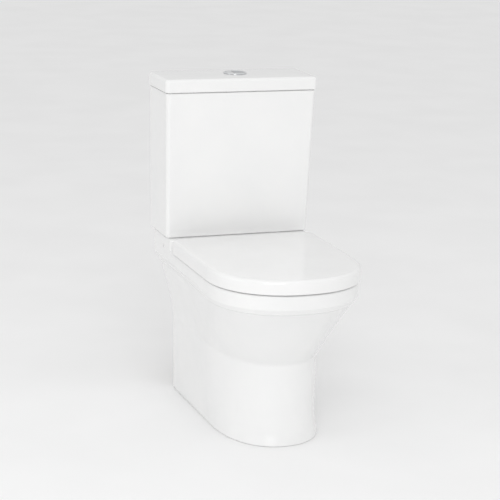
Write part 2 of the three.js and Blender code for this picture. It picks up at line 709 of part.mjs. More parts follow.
function makeSeatLid() {
  const outer = skin([
    seatRing(SKIRT_LOW, 1.2), seatRing(SKIRT_LOW + 1.5, 0), seatRing(SEAT_TOP - 9, 0),
    seatRing(SEAT_TOP - 5, 0.9), seatRing(SEAT_TOP - 2, 3.4), seatRing(SEAT_TOP, 8),
  ]);
  const cavity = (z, inset) => dRing({
    z, half: SEAT_HALF - inset, front: SEAT_FRONT - inset, straight: SEAT_STRAIGHT, power: SEAT_POWER,
    back: SEAT_BACK + 12, corner: 3, nose: 24,
  });
  const hollow = skin([cavity(SKIRT_LOW - 1, 5), cavity(SEAT_TOP - 9, 5), cavity(SEAT_TOP - 6, 8)]);
  const shell = cut(outer, hollow);
  // Behind the hinge the skirt's lower corner is rounded, so it clears the deck as the lid swings.
  const corner = cut(
    box([-SEAT_HALF - 5, SEAT_HALF + 5], [HINGE_Y, SEAT_BACK + 5], [SKIRT_LOW - 2, HINGE_Z]),
    rodX(18, -SEAT_HALF - 8, SEAT_HALF + 8, HINGE_Y, HINGE_Z, 32),
  );
  const knuckles = [-1, 1].flatMap((side) => {
    const span = sided(side, LID_KNUCKLE);
    return [
      rodX(KNUCKLE_R, span[0], span[1], HINGE_Y, HINGE_Z, 20),
      box(span, [HINGE_Y - 8, HINGE_Y + 8], [HINGE_Z, SEAT_TOP - 5]),
    ];
  });
  const bores = rodX(PIN_HOLE_R, -120, 120, HINGE_Y, HINGE_Z, 20);
  return cut(join(cut(shell, corner), ...knuckles), bores);
}

const RING_LOW = 390.2;
const RING_TOP = 407;
const RING_BACK = -207;

function makeSeatRing() {
  const outline = (z, inset) => dRing({
    z, half: RING_HALF - inset, front: RING_FRONT - inset, straight: SEAT_STRAIGHT, power: SEAT_POWER,
    back: RING_BACK - inset, corner: 8, nose: 24,
  });
  const body = skin([
    outline(RING_LOW, 1.5), outline(RING_LOW + 1.5, 0), outline(RING_TOP - 6, 0),
    outline(RING_TOP - 2, 2), outline(RING_TOP, 7),
  ]);
  const hole = skin([
    [RING_LOW - 1, 0], [RING_TOP - 9, 0], [RING_TOP - 4, 2], [RING_TOP + 1, 10],
  ].map(([z, flare]) => ovalRing(
    z, SEAT_HOLE.y, SEAT_HOLE.half + flare, SEAT_HOLE.reach + flare, SEAT_HOLE.power,
  )));
  const ears = [-1, 1].flatMap((side) => {
    const span = sided(side, RING_EAR);
    return [
      rodX(KNUCKLE_R, span[0], span[1], HINGE_Y, HINGE_Z, 20),
      box(span, [RING_BACK - 12, HINGE_Y], [HINGE_Z - KNUCKLE_R, HINGE_Z + 1]),
    ];
  });
  const bores = rodX(PIN_HOLE_R, -120, 120, HINGE_Y, HINGE_Z, 20);
  return cut(join(cut(body, hole), ...ears), bores);
}

function makeHingePost(side) {
  const x = side * HINGE_X;
  const span = [x - POST_HALF, x + POST_HALF];
  const body = join(
    turned([
      [0, RIM_TOP + GAP], [19, RIM_TOP + GAP], [19, RIM_TOP + 2.4], [17, RIM_TOP + 3.4], [0, RIM_TOP + 3.4],
    ], x, HINGE_Y, 20).intersect(box([x - 30, x + 30], [HINGE_Y - 12.5, HINGE_Y + 12.5], [380, 400])),
    box(span, [HINGE_Y - KNUCKLE_R, HINGE_Y + KNUCKLE_R], [RIM_TOP + 3, HINGE_Z]),
    rodX(KNUCKLE_R, span[0], span[1], HINGE_Y, HINGE_Z, 20),
  );
  return cut(body, rodX(PIN_HOLE_R - 0.1, span[0] - 5, span[1] + 5, HINGE_Y, HINGE_Z, 20),
    rod(4.4, x, HINGE_Y, RIM_TOP - 1, RIM_TOP + 11, 16));
}

// ---------------------------------------------------------------- assembly

const inner = new THREE.Group();
inner.position.set(0, DEPTH / 2, 0);
const toilet = new THREE.Group();
toilet.add(inner);

function add(name, manifold, finish) {
  const mesh = new THREE.Mesh(toGeometry(manifold), finish);
  mesh.name = name;
  inner.add(mesh);
}

add('pan', makePan(), china);
add('cistern_tank', makeTank(), china);
add('cistern_lid', makeCisternLid(), china);

add('button_bezel', makeBezel(), chrome);
add('half_flush_button', makeButton(-1), chrome);
add('full_flush_button', makeButton(1), satin);
add('button_nut', makeButtonNut(), whitePlastic);
add('half_flush_rod', makeRod(HALF_ROD_X), whitePlastic);
add('full_flush_rod', makeRod(FULL_ROD_X), bluePlastic);

add('flush_valve_basket', makeBasket(), whitePlastic);
add('lift_tube', makeLiftTube(), bluePlastic);
add('valve_seal', ring(20, 31, 0, VALVE_Y, SEAT_RING_Z + GAP, SEAT_RING_Z + 4.3, 20), rubber);
add('half_flush_lever', makeHalfLever(), greyPlastic);
add('full_flush_lever', makeFullLever(), greyPlastic);
for (const [hand, side] of HANDS) {
  const ends = side < 0 ? [-36, -18] : [18, 36];
  add(`lever_pin_${hand}`, rodX(PIN_R - 1 - 0.15, ends[0], ends[1], PIVOT_Y, LEVER_Z), steel);
}
add('valve_gasket', ring(27.8, 37, 0, VALVE_Y, VALVE_FLOOR, VALVE_FLOOR + 3.2, 20), rubber);
add('valve_backnut', nut(37, 27.9, 0, VALVE_Y, 405, TANK_BOTTOM - GAP), greyPlastic);
add('coupling_doughnut', turned([
  [29.5, 398.3], [45.5, 398.3], [45.5, 413], [38, 413], [38, 404.4], [29.5, 404.4], [29.5, 398.3],
], 0, VALVE_Y, 20), foam);

add('fill_valve_body', makeFillBody(), whitePlastic);
add('fill_valve_float', makeFloat(), bluePlastic);
add('float_link', makeFloatLink(), greyPlastic);
add('float_arm', makeFloatArm(), greyPlastic);
add('inlet_gasket', ring(10.4, 18, FILL_X, FILL_Y, VALVE_FLOOR, VALVE_FLOOR + 2.2, 20), rubber);
add('inlet_backnut', nut(17, 10.4, FILL_X, FILL_Y, 403, TANK_BOTTOM - GAP), whitePlastic);

for (const [hand, side] of HANDS) {
  const x = side * BOLT_X;
  const y = VALVE_Y;
  add(`coupling_bolt_${hand}`, bolt(3.4, 8, x, y, PLATFORM_LOW - 26, VALVE_FLOOR + 5.5, 5), steel);
  add(`tank_washer_${hand}`, ring(3.8, 12, x, y, VALVE_FLOOR, VALVE_FLOOR + 5.2, 20), rubber);
  add(`pan_washer_${hand}`, ring(3.8, 13, x, y, PLATFORM_LOW - 3.3, PLATFORM_LOW - GAP, 20), rubber);
  add(`coupling_wing_nut_${hand}`, wingNut(x, y, PLATFORM_LOW - 13.6, 3.8), steel);
}

add('seat_lid', makeSeatLid(), duroplast);
add('seat_ring', makeSeatRing(), duroplast);
for (const [hand, side] of HANDS) {
  const x = side * HINGE_X;
  const pinEnds = sided(side, PIN_SPAN);
  add(`hinge_post_${hand}`, makeHingePost(side), chrome);
  add(`hinge_pin_${hand}`, rodX(PIN_R, pinEnds[0], pinEnds[1], HINGE_Y, HINGE_Z, 16), steel);
  add(`seat_bolt_${hand}`, rod(4, x, HINGE_Y, 332, RIM_TOP + 10, 16), steel);
  add(`seat_washer_${hand}`, ring(4.4, 14, x, HINGE_Y, 369, 372 - GAP, 20), rubber);
  add(`seat_wing_nut_${hand}`, wingNut(x, HINGE_Y, 358.5, 4.4), whitePlastic);
}

// A round pad with its lower edge broken.
function pad(x, y, r, z0, z1) {
  return turned([[0, z0], [r - 0.8, z0], [r, z0 + 0.8], [r, z1], [0, z1]], x, y, 10);
}
for (const [hand, side] of HANDS) {
  add(`ring_buffer_back_${hand}`, pad(side * 143, -300, 8, RIM_TOP + GAP, RING_LOW - GAP), whitePlastic);
  add(`ring_buffer_front_${hand}`, pad(side * 92, -555, 8, RIM_TOP + GAP, RING_LOW - GAP), whitePlastic);
  add(`lid_buffer_${hand}`, pad(side * 60, -568, 6, RING_TOP + GAP, SEAT_TOP - 6 - GAP), whitePlastic);
}

export default toilet;
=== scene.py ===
"""A close coupled toilet with a soft curved seat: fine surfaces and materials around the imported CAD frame."""

import json
import math

import bmesh
import bpy
import numpy as np
from mathutils import Matrix, Vector


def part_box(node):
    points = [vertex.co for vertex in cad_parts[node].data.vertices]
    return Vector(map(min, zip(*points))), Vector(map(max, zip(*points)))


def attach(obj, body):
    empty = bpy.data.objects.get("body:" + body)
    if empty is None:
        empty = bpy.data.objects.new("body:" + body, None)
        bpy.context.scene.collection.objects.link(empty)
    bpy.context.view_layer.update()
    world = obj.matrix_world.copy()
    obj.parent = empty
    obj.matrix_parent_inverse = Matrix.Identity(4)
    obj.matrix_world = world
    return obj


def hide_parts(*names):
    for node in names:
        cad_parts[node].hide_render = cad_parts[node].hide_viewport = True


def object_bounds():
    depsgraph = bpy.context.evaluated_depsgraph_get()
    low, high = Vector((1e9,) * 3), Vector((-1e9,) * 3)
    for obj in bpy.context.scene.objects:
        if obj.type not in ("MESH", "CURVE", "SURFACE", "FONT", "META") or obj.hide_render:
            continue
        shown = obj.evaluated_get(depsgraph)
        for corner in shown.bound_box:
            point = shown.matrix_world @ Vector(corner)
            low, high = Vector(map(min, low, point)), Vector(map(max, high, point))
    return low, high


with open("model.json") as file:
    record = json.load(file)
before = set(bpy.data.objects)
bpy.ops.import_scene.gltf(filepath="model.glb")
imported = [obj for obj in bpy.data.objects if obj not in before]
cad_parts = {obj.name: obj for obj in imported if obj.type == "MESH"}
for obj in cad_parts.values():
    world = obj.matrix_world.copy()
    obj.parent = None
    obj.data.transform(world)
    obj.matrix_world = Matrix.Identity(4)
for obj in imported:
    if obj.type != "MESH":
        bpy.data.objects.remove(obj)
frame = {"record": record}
cad_low, cad_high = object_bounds()

# Shapes are drawn in millimetres from the wall (y = 0, front negative) and the floor (z = 0).
MM = 0.001
WALL = cad_high.y
RIM_TOP = 386.0
TANK_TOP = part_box("cistern_tank")[1].z / MM
LID_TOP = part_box("cistern_lid")[1].z / MM
HINGE_Y = -193.0
HINGE_Z = 406.0
VALVE_Y = -80.0
BUTTON = (8.0, -64.0)
FILL = (132.0, -72.0)
HANDS = (("left", -1), ("right", 1))
COUPLING_X, HINGE_X, FIXING_X = 80.0, 77.5, 88.0
SHARP_ANGLE = math.radians(32)

BODY_OF = {node: body for body, nodes in frame["record"]["behaviour"]["bodies"].items() for node in nodes}

# ---------------------------------------------------------------- camera


def make_camera():
    azimuth, elevation, roll = (math.radians(angle) for angle in (-20.9, 14.3, 1.88))
    distance, aside, below = 4.278, 0.0793, 0.0442
    back = Vector((
        math.sin(azimuth) * math.cos(elevation),
        -math.cos(azimuth) * math.cos(elevation),
        math.sin(elevation),
    ))
    level = back.cross(Vector((0, 0, -1))).normalized()
    upright = back.cross(level)
    right = math.cos(roll) * level + math.sin(roll) * upright
    up = math.cos(roll) * upright - math.sin(roll) * level
    aim = Vector((0, WALL, RIM_TOP * MM))
    data = bpy.data.cameras.new("camera")
    data.lens = 122.4
    data.sensor_width = 36
    camera = bpy.data.objects.new("camera", data)
    camera.matrix_world = Matrix.Translation(aim + back * distance + right * aside - up * below) @ Matrix(
        (right, up, back)
    ).transposed().to_4x4()
    bpy.context.scene.collection.objects.link(camera)
    bpy.context.scene.camera = camera


make_camera()

# ---------------------------------------------------------------- meshes


def new_object(name, mesh):
    made = bpy.data.objects.new(name, mesh)
    bpy.context.scene.collection.objects.link(made)
    return made


def solid(rings, zone=0):
    """A closed mesh skinned over equal rings of points, and capped at both ends."""
    rings = np.asarray(rings, float)
    levels, count = rings.shape[:2]
    faces = []
    for level in range(levels - 1):
        low, high = level * count, (level + 1) * count
        for i in range(count):
            after = (i + 1) % count
            faces.append((low + i, low + after, high + after, high + i))
    faces.append(tuple(reversed(range(count))))
    faces.append(tuple(range((levels - 1) * count, levels * count)))
    return mesh_object(rings.reshape(-1, 3), faces, zone)


def mesh_object(points, faces, zone=0):
    points = np.asarray(points, float) * MM + (0, WALL, 0)
    mesh = bpy.data.meshes.new("solid")
    mesh.from_pydata(points.tolist(), [], faces)
    tidy = bmesh.new()
    tidy.from_mesh(mesh)
    bmesh.ops.recalc_face_normals(tidy, faces=tidy.faces)
    tidy.to_mesh(mesh)
    tidy.free()
    mesh.materials.append(None)
    mesh.materials.append(None)
    mesh.polygons.foreach_set("material_index", [zone] * len(mesh.polygons))
    return new_object("solid", mesh)


def combine(operation, body, tools):
    """Applies one boolean operation with every tool in turn, and removes the tools."""
    for tool in tools:
        modifier = body.modifiers.new("boolean", "BOOLEAN")
        modifier.operation = operation
        modifier.solver = "MANIFOLD"
        modifier.object = tool
    bpy.context.view_layer.update()
    graph = bpy.context.evaluated_depsgraph_get()
    made = bpy.data.meshes.new_from_object(body.evaluated_get(graph))
    body.modifiers.clear()
    body.data = made
    for tool in tools:
        bpy.data.objects.remove(tool)
    return body


def join(body, *tools):
    return combine("UNION", body, tools)


def cut(body, *tools):
    return combine("DIFFERENCE", body, tools)


def meet(body, *tools):
    return combine("INTERSECT", body, tools)


def twin(body):
    return new_object(body.name, body.data.copy())


def softened(profile, radius, steps=5):
    """Rounds every corner of an open or closed outline of (a, b) points that lies off the axis."""
    closed = profile[0] == profile[-1]
    points = [Vector(p) for p in (profile[:-1] if closed else profile)]
    made = []
    for i, point in enumerate(points):
        if not closed and i in (0, len(points) - 1):
            made.append(tuple(point))
            continue
        before, after = points[i - 1] - point, points[(i + 1) % len(points)] - point
        reach = min(radius, before.length * 0.45, after.length * 0.45)
        start, end = point + before.normalized() * reach, point + after.normalized() * reach
        for step in range(steps + 1):
            t = step / steps
            made.append(tuple(start * (1 - t) ** 2 + point * 2 * t * (1 - t) + end * t * t))
    return made + made[:1] if closed else made


def turned(profile, x=0.0, y=0.0, segments=64, soft=0.0, zone=0, axis="Z"):
    """A lathe turned about an axis through (x, y), or (y, z) for X and (x, z) for Y."""
    if soft:
        profile = softened(profile, soft)
    closed = profile[0] == profile[-1]
    if closed:
        profile = profile[:-1]
    points, bands = [], []
    for radius, along in profile:
        start = len(points)
        turns = segments if radius > 1e-6 else 1
        for k in range(turns):
            angle = 2 * math.pi * k / segments
            points.append((radius * math.cos(angle), radius * math.sin(angle), along))
        bands.append((start, turns))
    faces = []
    pairs = list(zip(bands, bands[1:] + bands[:1])) if closed else list(zip(bands, bands[1:]))
    for (low, low_turns), (high, high_turns) in pairs:
        for k in range(segments):
            after = (k + 1) % segments
            if low_turns == 1:
                faces.append((low, high + k, high + after))
            elif high_turns == 1:
                faces.append((low + k, low + after, high))
            else:
                faces.append((low + k, low + after, high + after, high + k))
    across, up, along = np.asarray(points).T
    placed = {
        "Z": (across + x, up + y, along),
        "X": (along, across + x, up + y),
        "Y": (across + x, along, up + y),
    }[axis]
    return mesh_object(np.stack(placed, 1), faces, zone)


def rod(radius, x, y, low, high, soft=0.0, segments=64, zone=0, axis="Z"):
    profile = [(0, low), (radius, low), (radius, high), (0, high)]
    return turned(profile, x, y, segments, soft, zone, axis)


def tube(inner, outer, x, y, low, high, soft=0.0, segments=64, zone=0, axis="Z"):
    profile = [(inner, low), (outer, low), (outer, high), (inner, high), (inner, low)]
    return turned(profile, x, y, segments, soft, zone, axis)


def rounded_rectangle(z, x, y, corner, steps=8):
    """Corners run anticlockwise from the one at high x and y."""
    corner = max(corner, 0.01)
    points = []
    centres = ((x[1], y[1]), (x[0], y[1]), (x[0], y[0]), (x[1], y[0]))
    for quarter, (cx, cy) in enumerate(centres):
        cx += corner if cx == x[0] else -corner
        cy += corner if cy == y[0] else -corner
        for step in range(steps + 1):
            angle = (quarter + step / steps) * math.pi / 2
            points.append((cx + corner * math.cos(angle), cy + corner * math.sin(angle), z))
    return points


def block(x, y, z, edge=0.0, zone=0):
    """A box between three pairs of limits, with all its edges rounded by `edge`."""
    if not edge:
        corners = [(x[0], y[0]), (x[1], y[0]), (x[1], y[1]), (x[0], y[1])]
        return solid([[(a, b, level) for a, b in corners] for level in z], zone)
    rings = []
    for end, direction in ((z[0], 1), (z[1], -1)):
        turns = [step / 4 * math.pi / 2 for step in range(5)]
        for angle in turns if direction > 0 else reversed(turns):
            inset = edge * (1 - math.sin(angle))
            level = end + direction * edge * (1 - math.cos(angle))
            rings.append(rounded_rectangle(
                level, (x[0] + inset, x[1] - inset), (y[0] + inset, y[1] - inset), edge * 1.05 - inset, 4,
            ))
    return solid(rings, zone)


def threaded(radius, depth, pitch, x, y, low, high, segments):
    """A rod with a helical thread that fades out at both ends."""
    levels = max(4, round((high - low) / pitch * 6))
    heights = np.linspace(low, high, levels + 1)
    angles = np.linspace(0, 2 * math.pi, segments, endpoint=False)
    phase = (heights[:, None] / pitch - angles[None, :] / (2 * math.pi)) % 1
    fade = np.clip(np.minimum(heights - low, high - heights) / pitch, 0, 1)[:, None]
    r = radius - depth * (1 - fade * (1 - np.abs(2 * phase - 1)))
    across, up = r * np.cos(angles), r * np.sin(angles)
    along = np.broadcast_to(heights[:, None], r.shape)
    return solid(np.stack((across + x, up + y, along), -1))


def finish_piece(made, node, slot):
    """Names a piece for the CAD node that it stands for, and shades, rides and paints it."""
    made.name = made.data.name = f"{node}.fine"
    mesh = made.data
    while len(mesh.materials) < 2:
        mesh.materials.append(None)
    mesh.materials[0] = LOOKS[slot][0]
    mesh.materials[1] = LOOKS[slot][-1]
    mesh.shade_smooth()
    mesh.set_sharp_from_angle(angle=SHARP_ANGLE)
    weighted = made.modifiers.new("weighted_normals", "WEIGHTED_NORMAL")
    weighted.keep_sharp = True
    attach(made, BODY_OF[node])
    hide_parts(node)
    return made


# ---------------------------------------------------------------- materials


class Paint:
    """A node material built around one Principled shader."""

    def __init__(self, name, **sockets):
        self.material = bpy.data.materials.new(name)
        self.material.use_nodes = True
        self.tree = self.material.node_tree
        self.shader = self.tree.nodes["Principled BSDF"]
        for socket, value in sockets.items():
            self.shader.inputs[socket.replace("_", " ")].default_value = value
        self.place = self.add("ShaderNodeTexCoord").outputs["Object"]

    def add(self, kind, **inputs):
        node = self.tree.nodes.new(kind)
        for socket, value in inputs.items():
            self.feed(value, node.inputs[socket])
        return node

    def feed(self, value, socket):
        if isinstance(value, bpy.types.NodeSocket):
            self.tree.links.new(value, socket)
        else:
            socket.default_value = value

    def noise(self, scale, detail=3.0, stretch=(1, 1, 1), distortion=0.0):
        mapped = self.add("ShaderNodeMapping", Vector=self.place, Scale=stretch)
        node = self.add("ShaderNodeTexNoise", Vector=mapped.outputs["Vector"], Scale=scale, Detail=detail,
                        Distortion=distortion)
        return node.outputs["Fac"]

    def cells(self, scale):
        return self.add("ShaderNodeTexVoronoi", Vector=self.place, Scale=scale).outputs["Distance"]

    def spread(self, value, low, high, start=0.3, end=0.7):
        node = self.add("ShaderNodeMapRange", Value=value)
        for socket, number in (("From Min", start), ("From Max", end), ("To Min", low), ("To Max", high)):
            node.inputs[socket].default_value = number
        return node.outputs["Result"]

    def colour(self, value, first, second, start=0.35, end=0.65):
        ramp = self.add("ShaderNodeValToRGB", Fac=value)
        for element, position, tint in zip(ramp.color_ramp.elements, (start, end), (first, second)):
            element.position = position
            element.color = (*tint, 1)
        self.feed(ramp.outputs["Color"], self.shader.inputs["Base Color"])

    def rough(self, value, low, high):
        self.feed(self.spread(value, low, high), self.shader.inputs["Roughness"])

    def bump(self, *layers):
        """Each layer is a height and its depth in metres."""
        normal = None
        for height, depth in layers:
            node = self.add("ShaderNodeBump", Height=height, Distance=depth, Strength=1.0)
            if normal:
                self.feed(normal, node.inputs["Normal"])
            normal = node.outputs["Normal"]
        self.feed(normal, self.shader.inputs["Normal"])


def glaze():
    """Thick tin-white glaze over vitreous china, with a faint ripple and pinholes."""
    paint = Paint("glaze", IOR=1.52, Coat_Weight=0.35, Coat_Roughness=0.03, Coat_IOR=1.5)
    paint.colour(paint.noise(7, 4), (0.875, 0.877, 0.876), (0.9, 0.9, 0.896))
    paint.rough(paint.noise(30, 3), 0.1, 0.16)
    pinholes = paint.spread(paint.cells(260), 0, 1, 0.0, 0.12)
    paint.bump((paint.noise(24, 2), 0.00025), (paint.noise(160, 2), 0.00002), (pinholes, 0.000015))
    return paint.material


def bisque():
    """Thin matt wash on the china's hidden faces, where the body's grain shows."""
    paint = Paint("bisque", IOR=1.5)
    paint.colour(paint.noise(18, 6), (0.74, 0.715, 0.67), (0.84, 0.825, 0.79))
    paint.rough(paint.noise(60, 5), 0.45, 0.75)
    paint.bump((paint.noise(55, 5), 0.0004), (paint.noise(700, 3), 0.00008))
    return paint.material


def duroplast():
    paint = Paint("duroplast", IOR=1.53, Coat_Weight=0.5, Coat_Roughness=0.03)
    paint.colour(paint.noise(11, 3), (0.885, 0.885, 0.882), (0.905, 0.905, 0.903))
    paint.rough(paint.noise(45, 3), 0.07, 0.12)
    paint.bump((paint.noise(75, 2), 0.00006), (paint.noise(900, 2), 0.000008))
    return paint.material


def mirror_chrome():
    paint = Paint("mirror_chrome", Metallic=1.0)
    paint.colour(paint.noise(25, 3), (0.72, 0.735, 0.75), (0.82, 0.825, 0.83))
    smears = paint.noise(90, 5, (1, 0.25, 1), 0.6)
    paint.rough(smears, 0.05, 0.16)
    scratches = paint.noise(600, 2, (1, 0.04, 1))
    paint.bump((scratches, 0.000006))
    return paint.material


def satin_chrome():
    paint = Paint("satin_chrome", Metallic=1.0, Anisotropic=0.35)
    paint.colour(paint.noise(40, 3), (0.5, 0.515, 0.53), (0.62, 0.63, 0.64))
    brushed = paint.noise(1500, 3, (0.03, 1, 1))
    paint.rough(brushed, 0.24, 0.38)
    paint.bump((brushed, 0.00001))
    return paint.material


def moulded(name, dark, light, low, high):
    """Spark-eroded moulded plastic with flow marks."""
    paint = Paint(name, IOR=1.46)
    paint.colour(paint.noise(35, 4, (1, 1, 0.3)), dark, light)
    paint.rough(paint.noise(220, 3), low, high)
    paint.bump((paint.noise(1400, 2), 0.00003), (paint.noise(60, 2), 0.00006))
    return paint.material


def rubber():
    paint = Paint("rubber", IOR=1.5, Sheen_Weight=0.15, Sheen_Roughness=0.6)
    paint.colour(paint.noise(90, 5), (0.018, 0.018, 0.019), (0.045, 0.045, 0.047))
    paint.rough(paint.noise(300, 4), 0.6, 0.85)
    paint.bump((paint.noise(900, 4), 0.00006))
    return paint.material


def sponge():
    paint = Paint("sponge", IOR=1.4)
    pits_and_pit_shade = paint.cells(700)
    # Painted shade: the foam is painted darker at the centres of the pits that the bump presses in, and lighter
    # on the ridges between them.
    paint.colour(pits_and_pit_shade, (0.012, 0.012, 0.013), (0.07, 0.07, 0.075), 0.1, 0.5)
    paint.rough(paint.noise(200, 3), 0.85, 1.0)
    paint.bump((paint.spread(pits_and_pit_shade, 0, 1, 0, 0.5), 0.0006))
    return paint.material


def plated_steel():
    paint = Paint("plated_steel", Metallic=1.0)
    paint.colour(paint.noise(140, 5), (0.5, 0.51, 0.52), (0.68, 0.685, 0.69))
    paint.rough(paint.noise(80, 4), 0.22, 0.42)
    paint.bump((paint.noise(700, 4), 0.00002))
    return paint.material


# The material on each slot's outer faces, and last the one on its hidden faces.
LOOKS = {
    "china": (glaze(), bisque()),
    "seat_plastic": (duroplast(),),
    "chrome": (mirror_chrome(),),
    "satin_chrome": (satin_chrome(),),
    "steel": (plated_steel(),),
    "rubber": (rubber(),),
    "foam": (sponge(),),
    "white_plastic": (moulded("white_moulding", (0.77, 0.77, 0.75), (0.84, 0.84, 0.82), 0.35, 0.5),),
    "blue_plastic": (moulded("blue_moulding", (0.045, 0.13, 0.3), (0.065, 0.17, 0.36), 0.35, 0.5),),
    "grey_plastic": (moulded("grey_moulding", (0.27, 0.285, 0.295), (0.33, 0.345, 0.355), 0.4, 0.55),),
}

# ---------------------------------------------------------------- outlines


def mix(a, b, t):
    return a + (b - a) * t


def smoothstep(t):
    t = np.clip(t, 0, 1)
    return t * t * (3 - 2 * t)


def d_outline(z, half, front, straight, power, rear=None, back=-34.0, corner=6.0, nose=96, side=26):
    """A D shape: straight or gently swelling sides from the back, then a rounded nose."""
    rear = half if rear is None else rear
    swell_back = 200.0
    points = []
    for cx, start in ((rear - corner, 0.0), (-rear + corner, math.pi / 2)):
        for angle in np.linspace(start, start + math.pi / 2, 7):
            points.append((cx + corner * math.cos(angle), back - corner + corner * math.sin(angle)))
    along = np.linspace(back - corner, -straight, side + 1)[1:-1]
    swell = smoothstep((-along - swell_back) / max(straight - swell_back, 1))
    across = mix(rear, half, swell)
    points += [(-x, y) for x, y in zip(across, along)]
    for angle in np.linspace(-math.pi / 2, math.pi / 2, nose + 1):
        x = half * math.copysign(abs(math.sin(angle)) ** (2 / power), math.sin(angle))
        points.append((x, -straight - (front - straight) * abs(math.cos(angle)) ** (2 / power)))
    points += [(x, y) for x, y in zip(across[::-1], along[::-1])]
    return [(x, y, z) for x, y in points]


def oval(z, y, half, reach, power, count=96):
    angles = np.linspace(0, 2 * math.pi, count, endpoint=False)
    c, s = np.cos(angles), np.sin(angles)
    xs = half * np.sign(c) * np.abs(c) ** (2 / power)
    ys = y + reach * np.sign(s) * np.abs(s) ** (2 / power)
    return [(a, b, z) for a, b in zip(xs, ys)]


def edge_insets(radius, steps=6):
    """(depth below the edge, inset) pairs down a quarter round."""
    turns = np.linspace(0, math.pi / 2, steps + 1)
    return [(radius * (1 - math.cos(a)), radius * (1 - math.sin(a))) for a in turns]


# ---------------------------------------------------------------- pan

BAND_HALF, BAND_FRONT = 178.0, 593.0
DECK_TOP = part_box("pan")[1].z / MM
DECK_BACK = -22.0
DECK_FRONT = -158.0
CHINA = 11.0
BOWL_Y = -388.0
COLUMN_HALF = 127.6
CONE_FOOT, CONE_TOP = 192.0, 336.5
CONE_RISE, CONE_SWELL = 146.0, 18.6

# Height, half width, rear half width, front, where the nose starts, its power, and the back plane.
PAN_KEYS = np.array([
    (0, 124, 124, 507.5, 320, 2.25, -34),
    (3, 124, 124, 507.5, 320, 2.25, -34),
    (14, 124, 124, 503.5, 313, 2.2, -34),
    (30, 124.2, 124.2, 499.5, 303, 2.16, -34),
    (60, 124.6, 124.6, 496.5, 294, 2.12, -34),
    (120, 126, 126, 494, 291, 2.1, -34),
    (CONE_FOOT, COLUMN_HALF, COLUMN_HALF, 492.6, 290, 2.1, -34),
    (CONE_TOP, 168.6, 163.2, 582, 419, 2.2, -34),
    (338, 169.2, 164, 582.8, 420, 2.2, -34),
    (339.5, 172.8, 165.6, 586.8, 421.5, 2.2, -33.6),
    (345, 175, 168, 589.4, 424, 2.2, -32.5),
    (352, BAND_HALF, 172.5, BAND_FRONT, 427, 2.2, -27.5),
    (359, BAND_HALF, BAND_HALF, BAND_FRONT, 427, 2.2, -22),
    (RIM_TOP, BAND_HALF, BAND_HALF, BAND_FRONT, 427, 2.2, -22),
])


def pan_keys_at(z):
    """One row of sizes; the cone's rear half width swells faster than its height."""
    row = np.array([np.interp(z, PAN_KEYS[:, 0], column) for column in PAN_KEYS.T[1:]])
    if CONE_FOOT < z < CONE_TOP:
        t = (z - CONE_FOOT) / CONE_RISE
        row[1] = COLUMN_HALF + CONE_SWELL * (t + t * t)
    return row


def pan_section(z):
    """The outer section, with its creases softened by averaging over a few millimetres of height."""
    blend = 4.0 if z < 280 else 0.7
    spread = np.linspace(-blend, blend, 9)
    return np.mean([pan_keys_at(min(max(z + step, 0), RIM_TOP)) for step in spread], 0)


def pan_ring(z, inset=0.0, back=None, nose=96):
    half, rear, front, straight, power, own_back = pan_section(z)
    return d_outline(z, half - inset, front - inset, straight, power, rear - inset,
                     own_back if back is None else back, nose=nose)


def make_pan_body():
    foot = [pan_ring(depth, inset) for depth, inset in edge_insets(3.0)]
    heights = [*range(10, 176, 10), *range(178, 208, 3), *range(210, 334, 6),
               *np.arange(334, 344, 0.5), *np.arange(344, 362, 1.0), 366, 372, 378]
    rim = [pan_ring(RIM_TOP - depth, inset) for depth, inset in reversed(edge_insets(5.0))]
    return solid(foot + [pan_ring(z) for z in heights] + rim)


def make_platform():
    """The raised deck under the cistern, with a fillet where it rises from the rim."""
    rows = [(362 if depth == 0 else RIM_TOP + depth, 0.0, flare) for depth, flare in edge_insets(6.0)]
    rows += [(DECK_TOP - depth, inset, 0.0) for depth, inset in reversed(edge_insets(5.0))]
    rings = []
    for z, inset, flare in rows:
        across = (-BAND_HALF + inset, BAND_HALF - inset)
        along = (DECK_FRONT - flare + inset, DECK_BACK - inset)
        rings.append(rounded_rectangle(z, across, along, 8 - inset / 2))
    return solid(rings)


def make_walls(outside):
    """The outer skin, hollowed from the floor up to the deck's underside."""
    inset = CHINA + 1
    heights = [-1, 20, 60, 120, 178, *range(184, 204, 4), *range(210, 336, 14), 338, 346, 354, 362, 372]
    hollow = solid([pan_ring(z, inset, DECK_BACK + 20, 48) for z in heights], 1)
    across = (-BAND_HALF + inset, BAND_HALF - inset)
    under_platform = block(across, (DECK_FRONT + 14, DECK_BACK + 20), (360, DECK_TOP - 16), zone=1)
    return cut(twin(outside), hollow, under_platform)


# Height, middle, half width and reach of the bowl below its lip.
BOWL_KEYS = np.array([
    (98, -336, 26, 29), (104, -338.5, 35, 38.5), (112, -341, 41, 45), (135, -348, 50, 56),
    (165, -357, 60, 70), (196, -366, 76, 92), (228, -374, 96, 119), (262, -381, 117, 143),
    (296, -386, 133, 160), (330, BOWL_Y, 140, 168), (361, BOWL_Y, 140, 169),
])
BOWL_POWER = 2.25


def bowl_row(z):
    return [np.mean([np.interp(z + step, BOWL_KEYS[:, 0], column) for step in np.linspace(-9, 9, 7)])
            for column in BOWL_KEYS.T[1:]]


def make_bowl():
    """The room inside the bowl, drawn in under the rim's lip."""
    lip = [(RIM_TOP + 1, 6.5)] + [(RIM_TOP - depth, inset) for depth, inset in edge_insets(6.0)]
    under_lip = [(364.5, 0.0), (362.5, 0.8), (361.5, 2.6), (361, 9.0)]
    rings = [oval(z, *bowl_row(z), BOWL_POWER) for z in [98.5, 100, 103, 107, 112, *range(118, 358, 8)]]
    rings += [oval(z, BOWL_Y, 131 + grow, 160 + grow, BOWL_POWER) for z, grow in reversed(lip + under_lip)]
    return solid(rings)


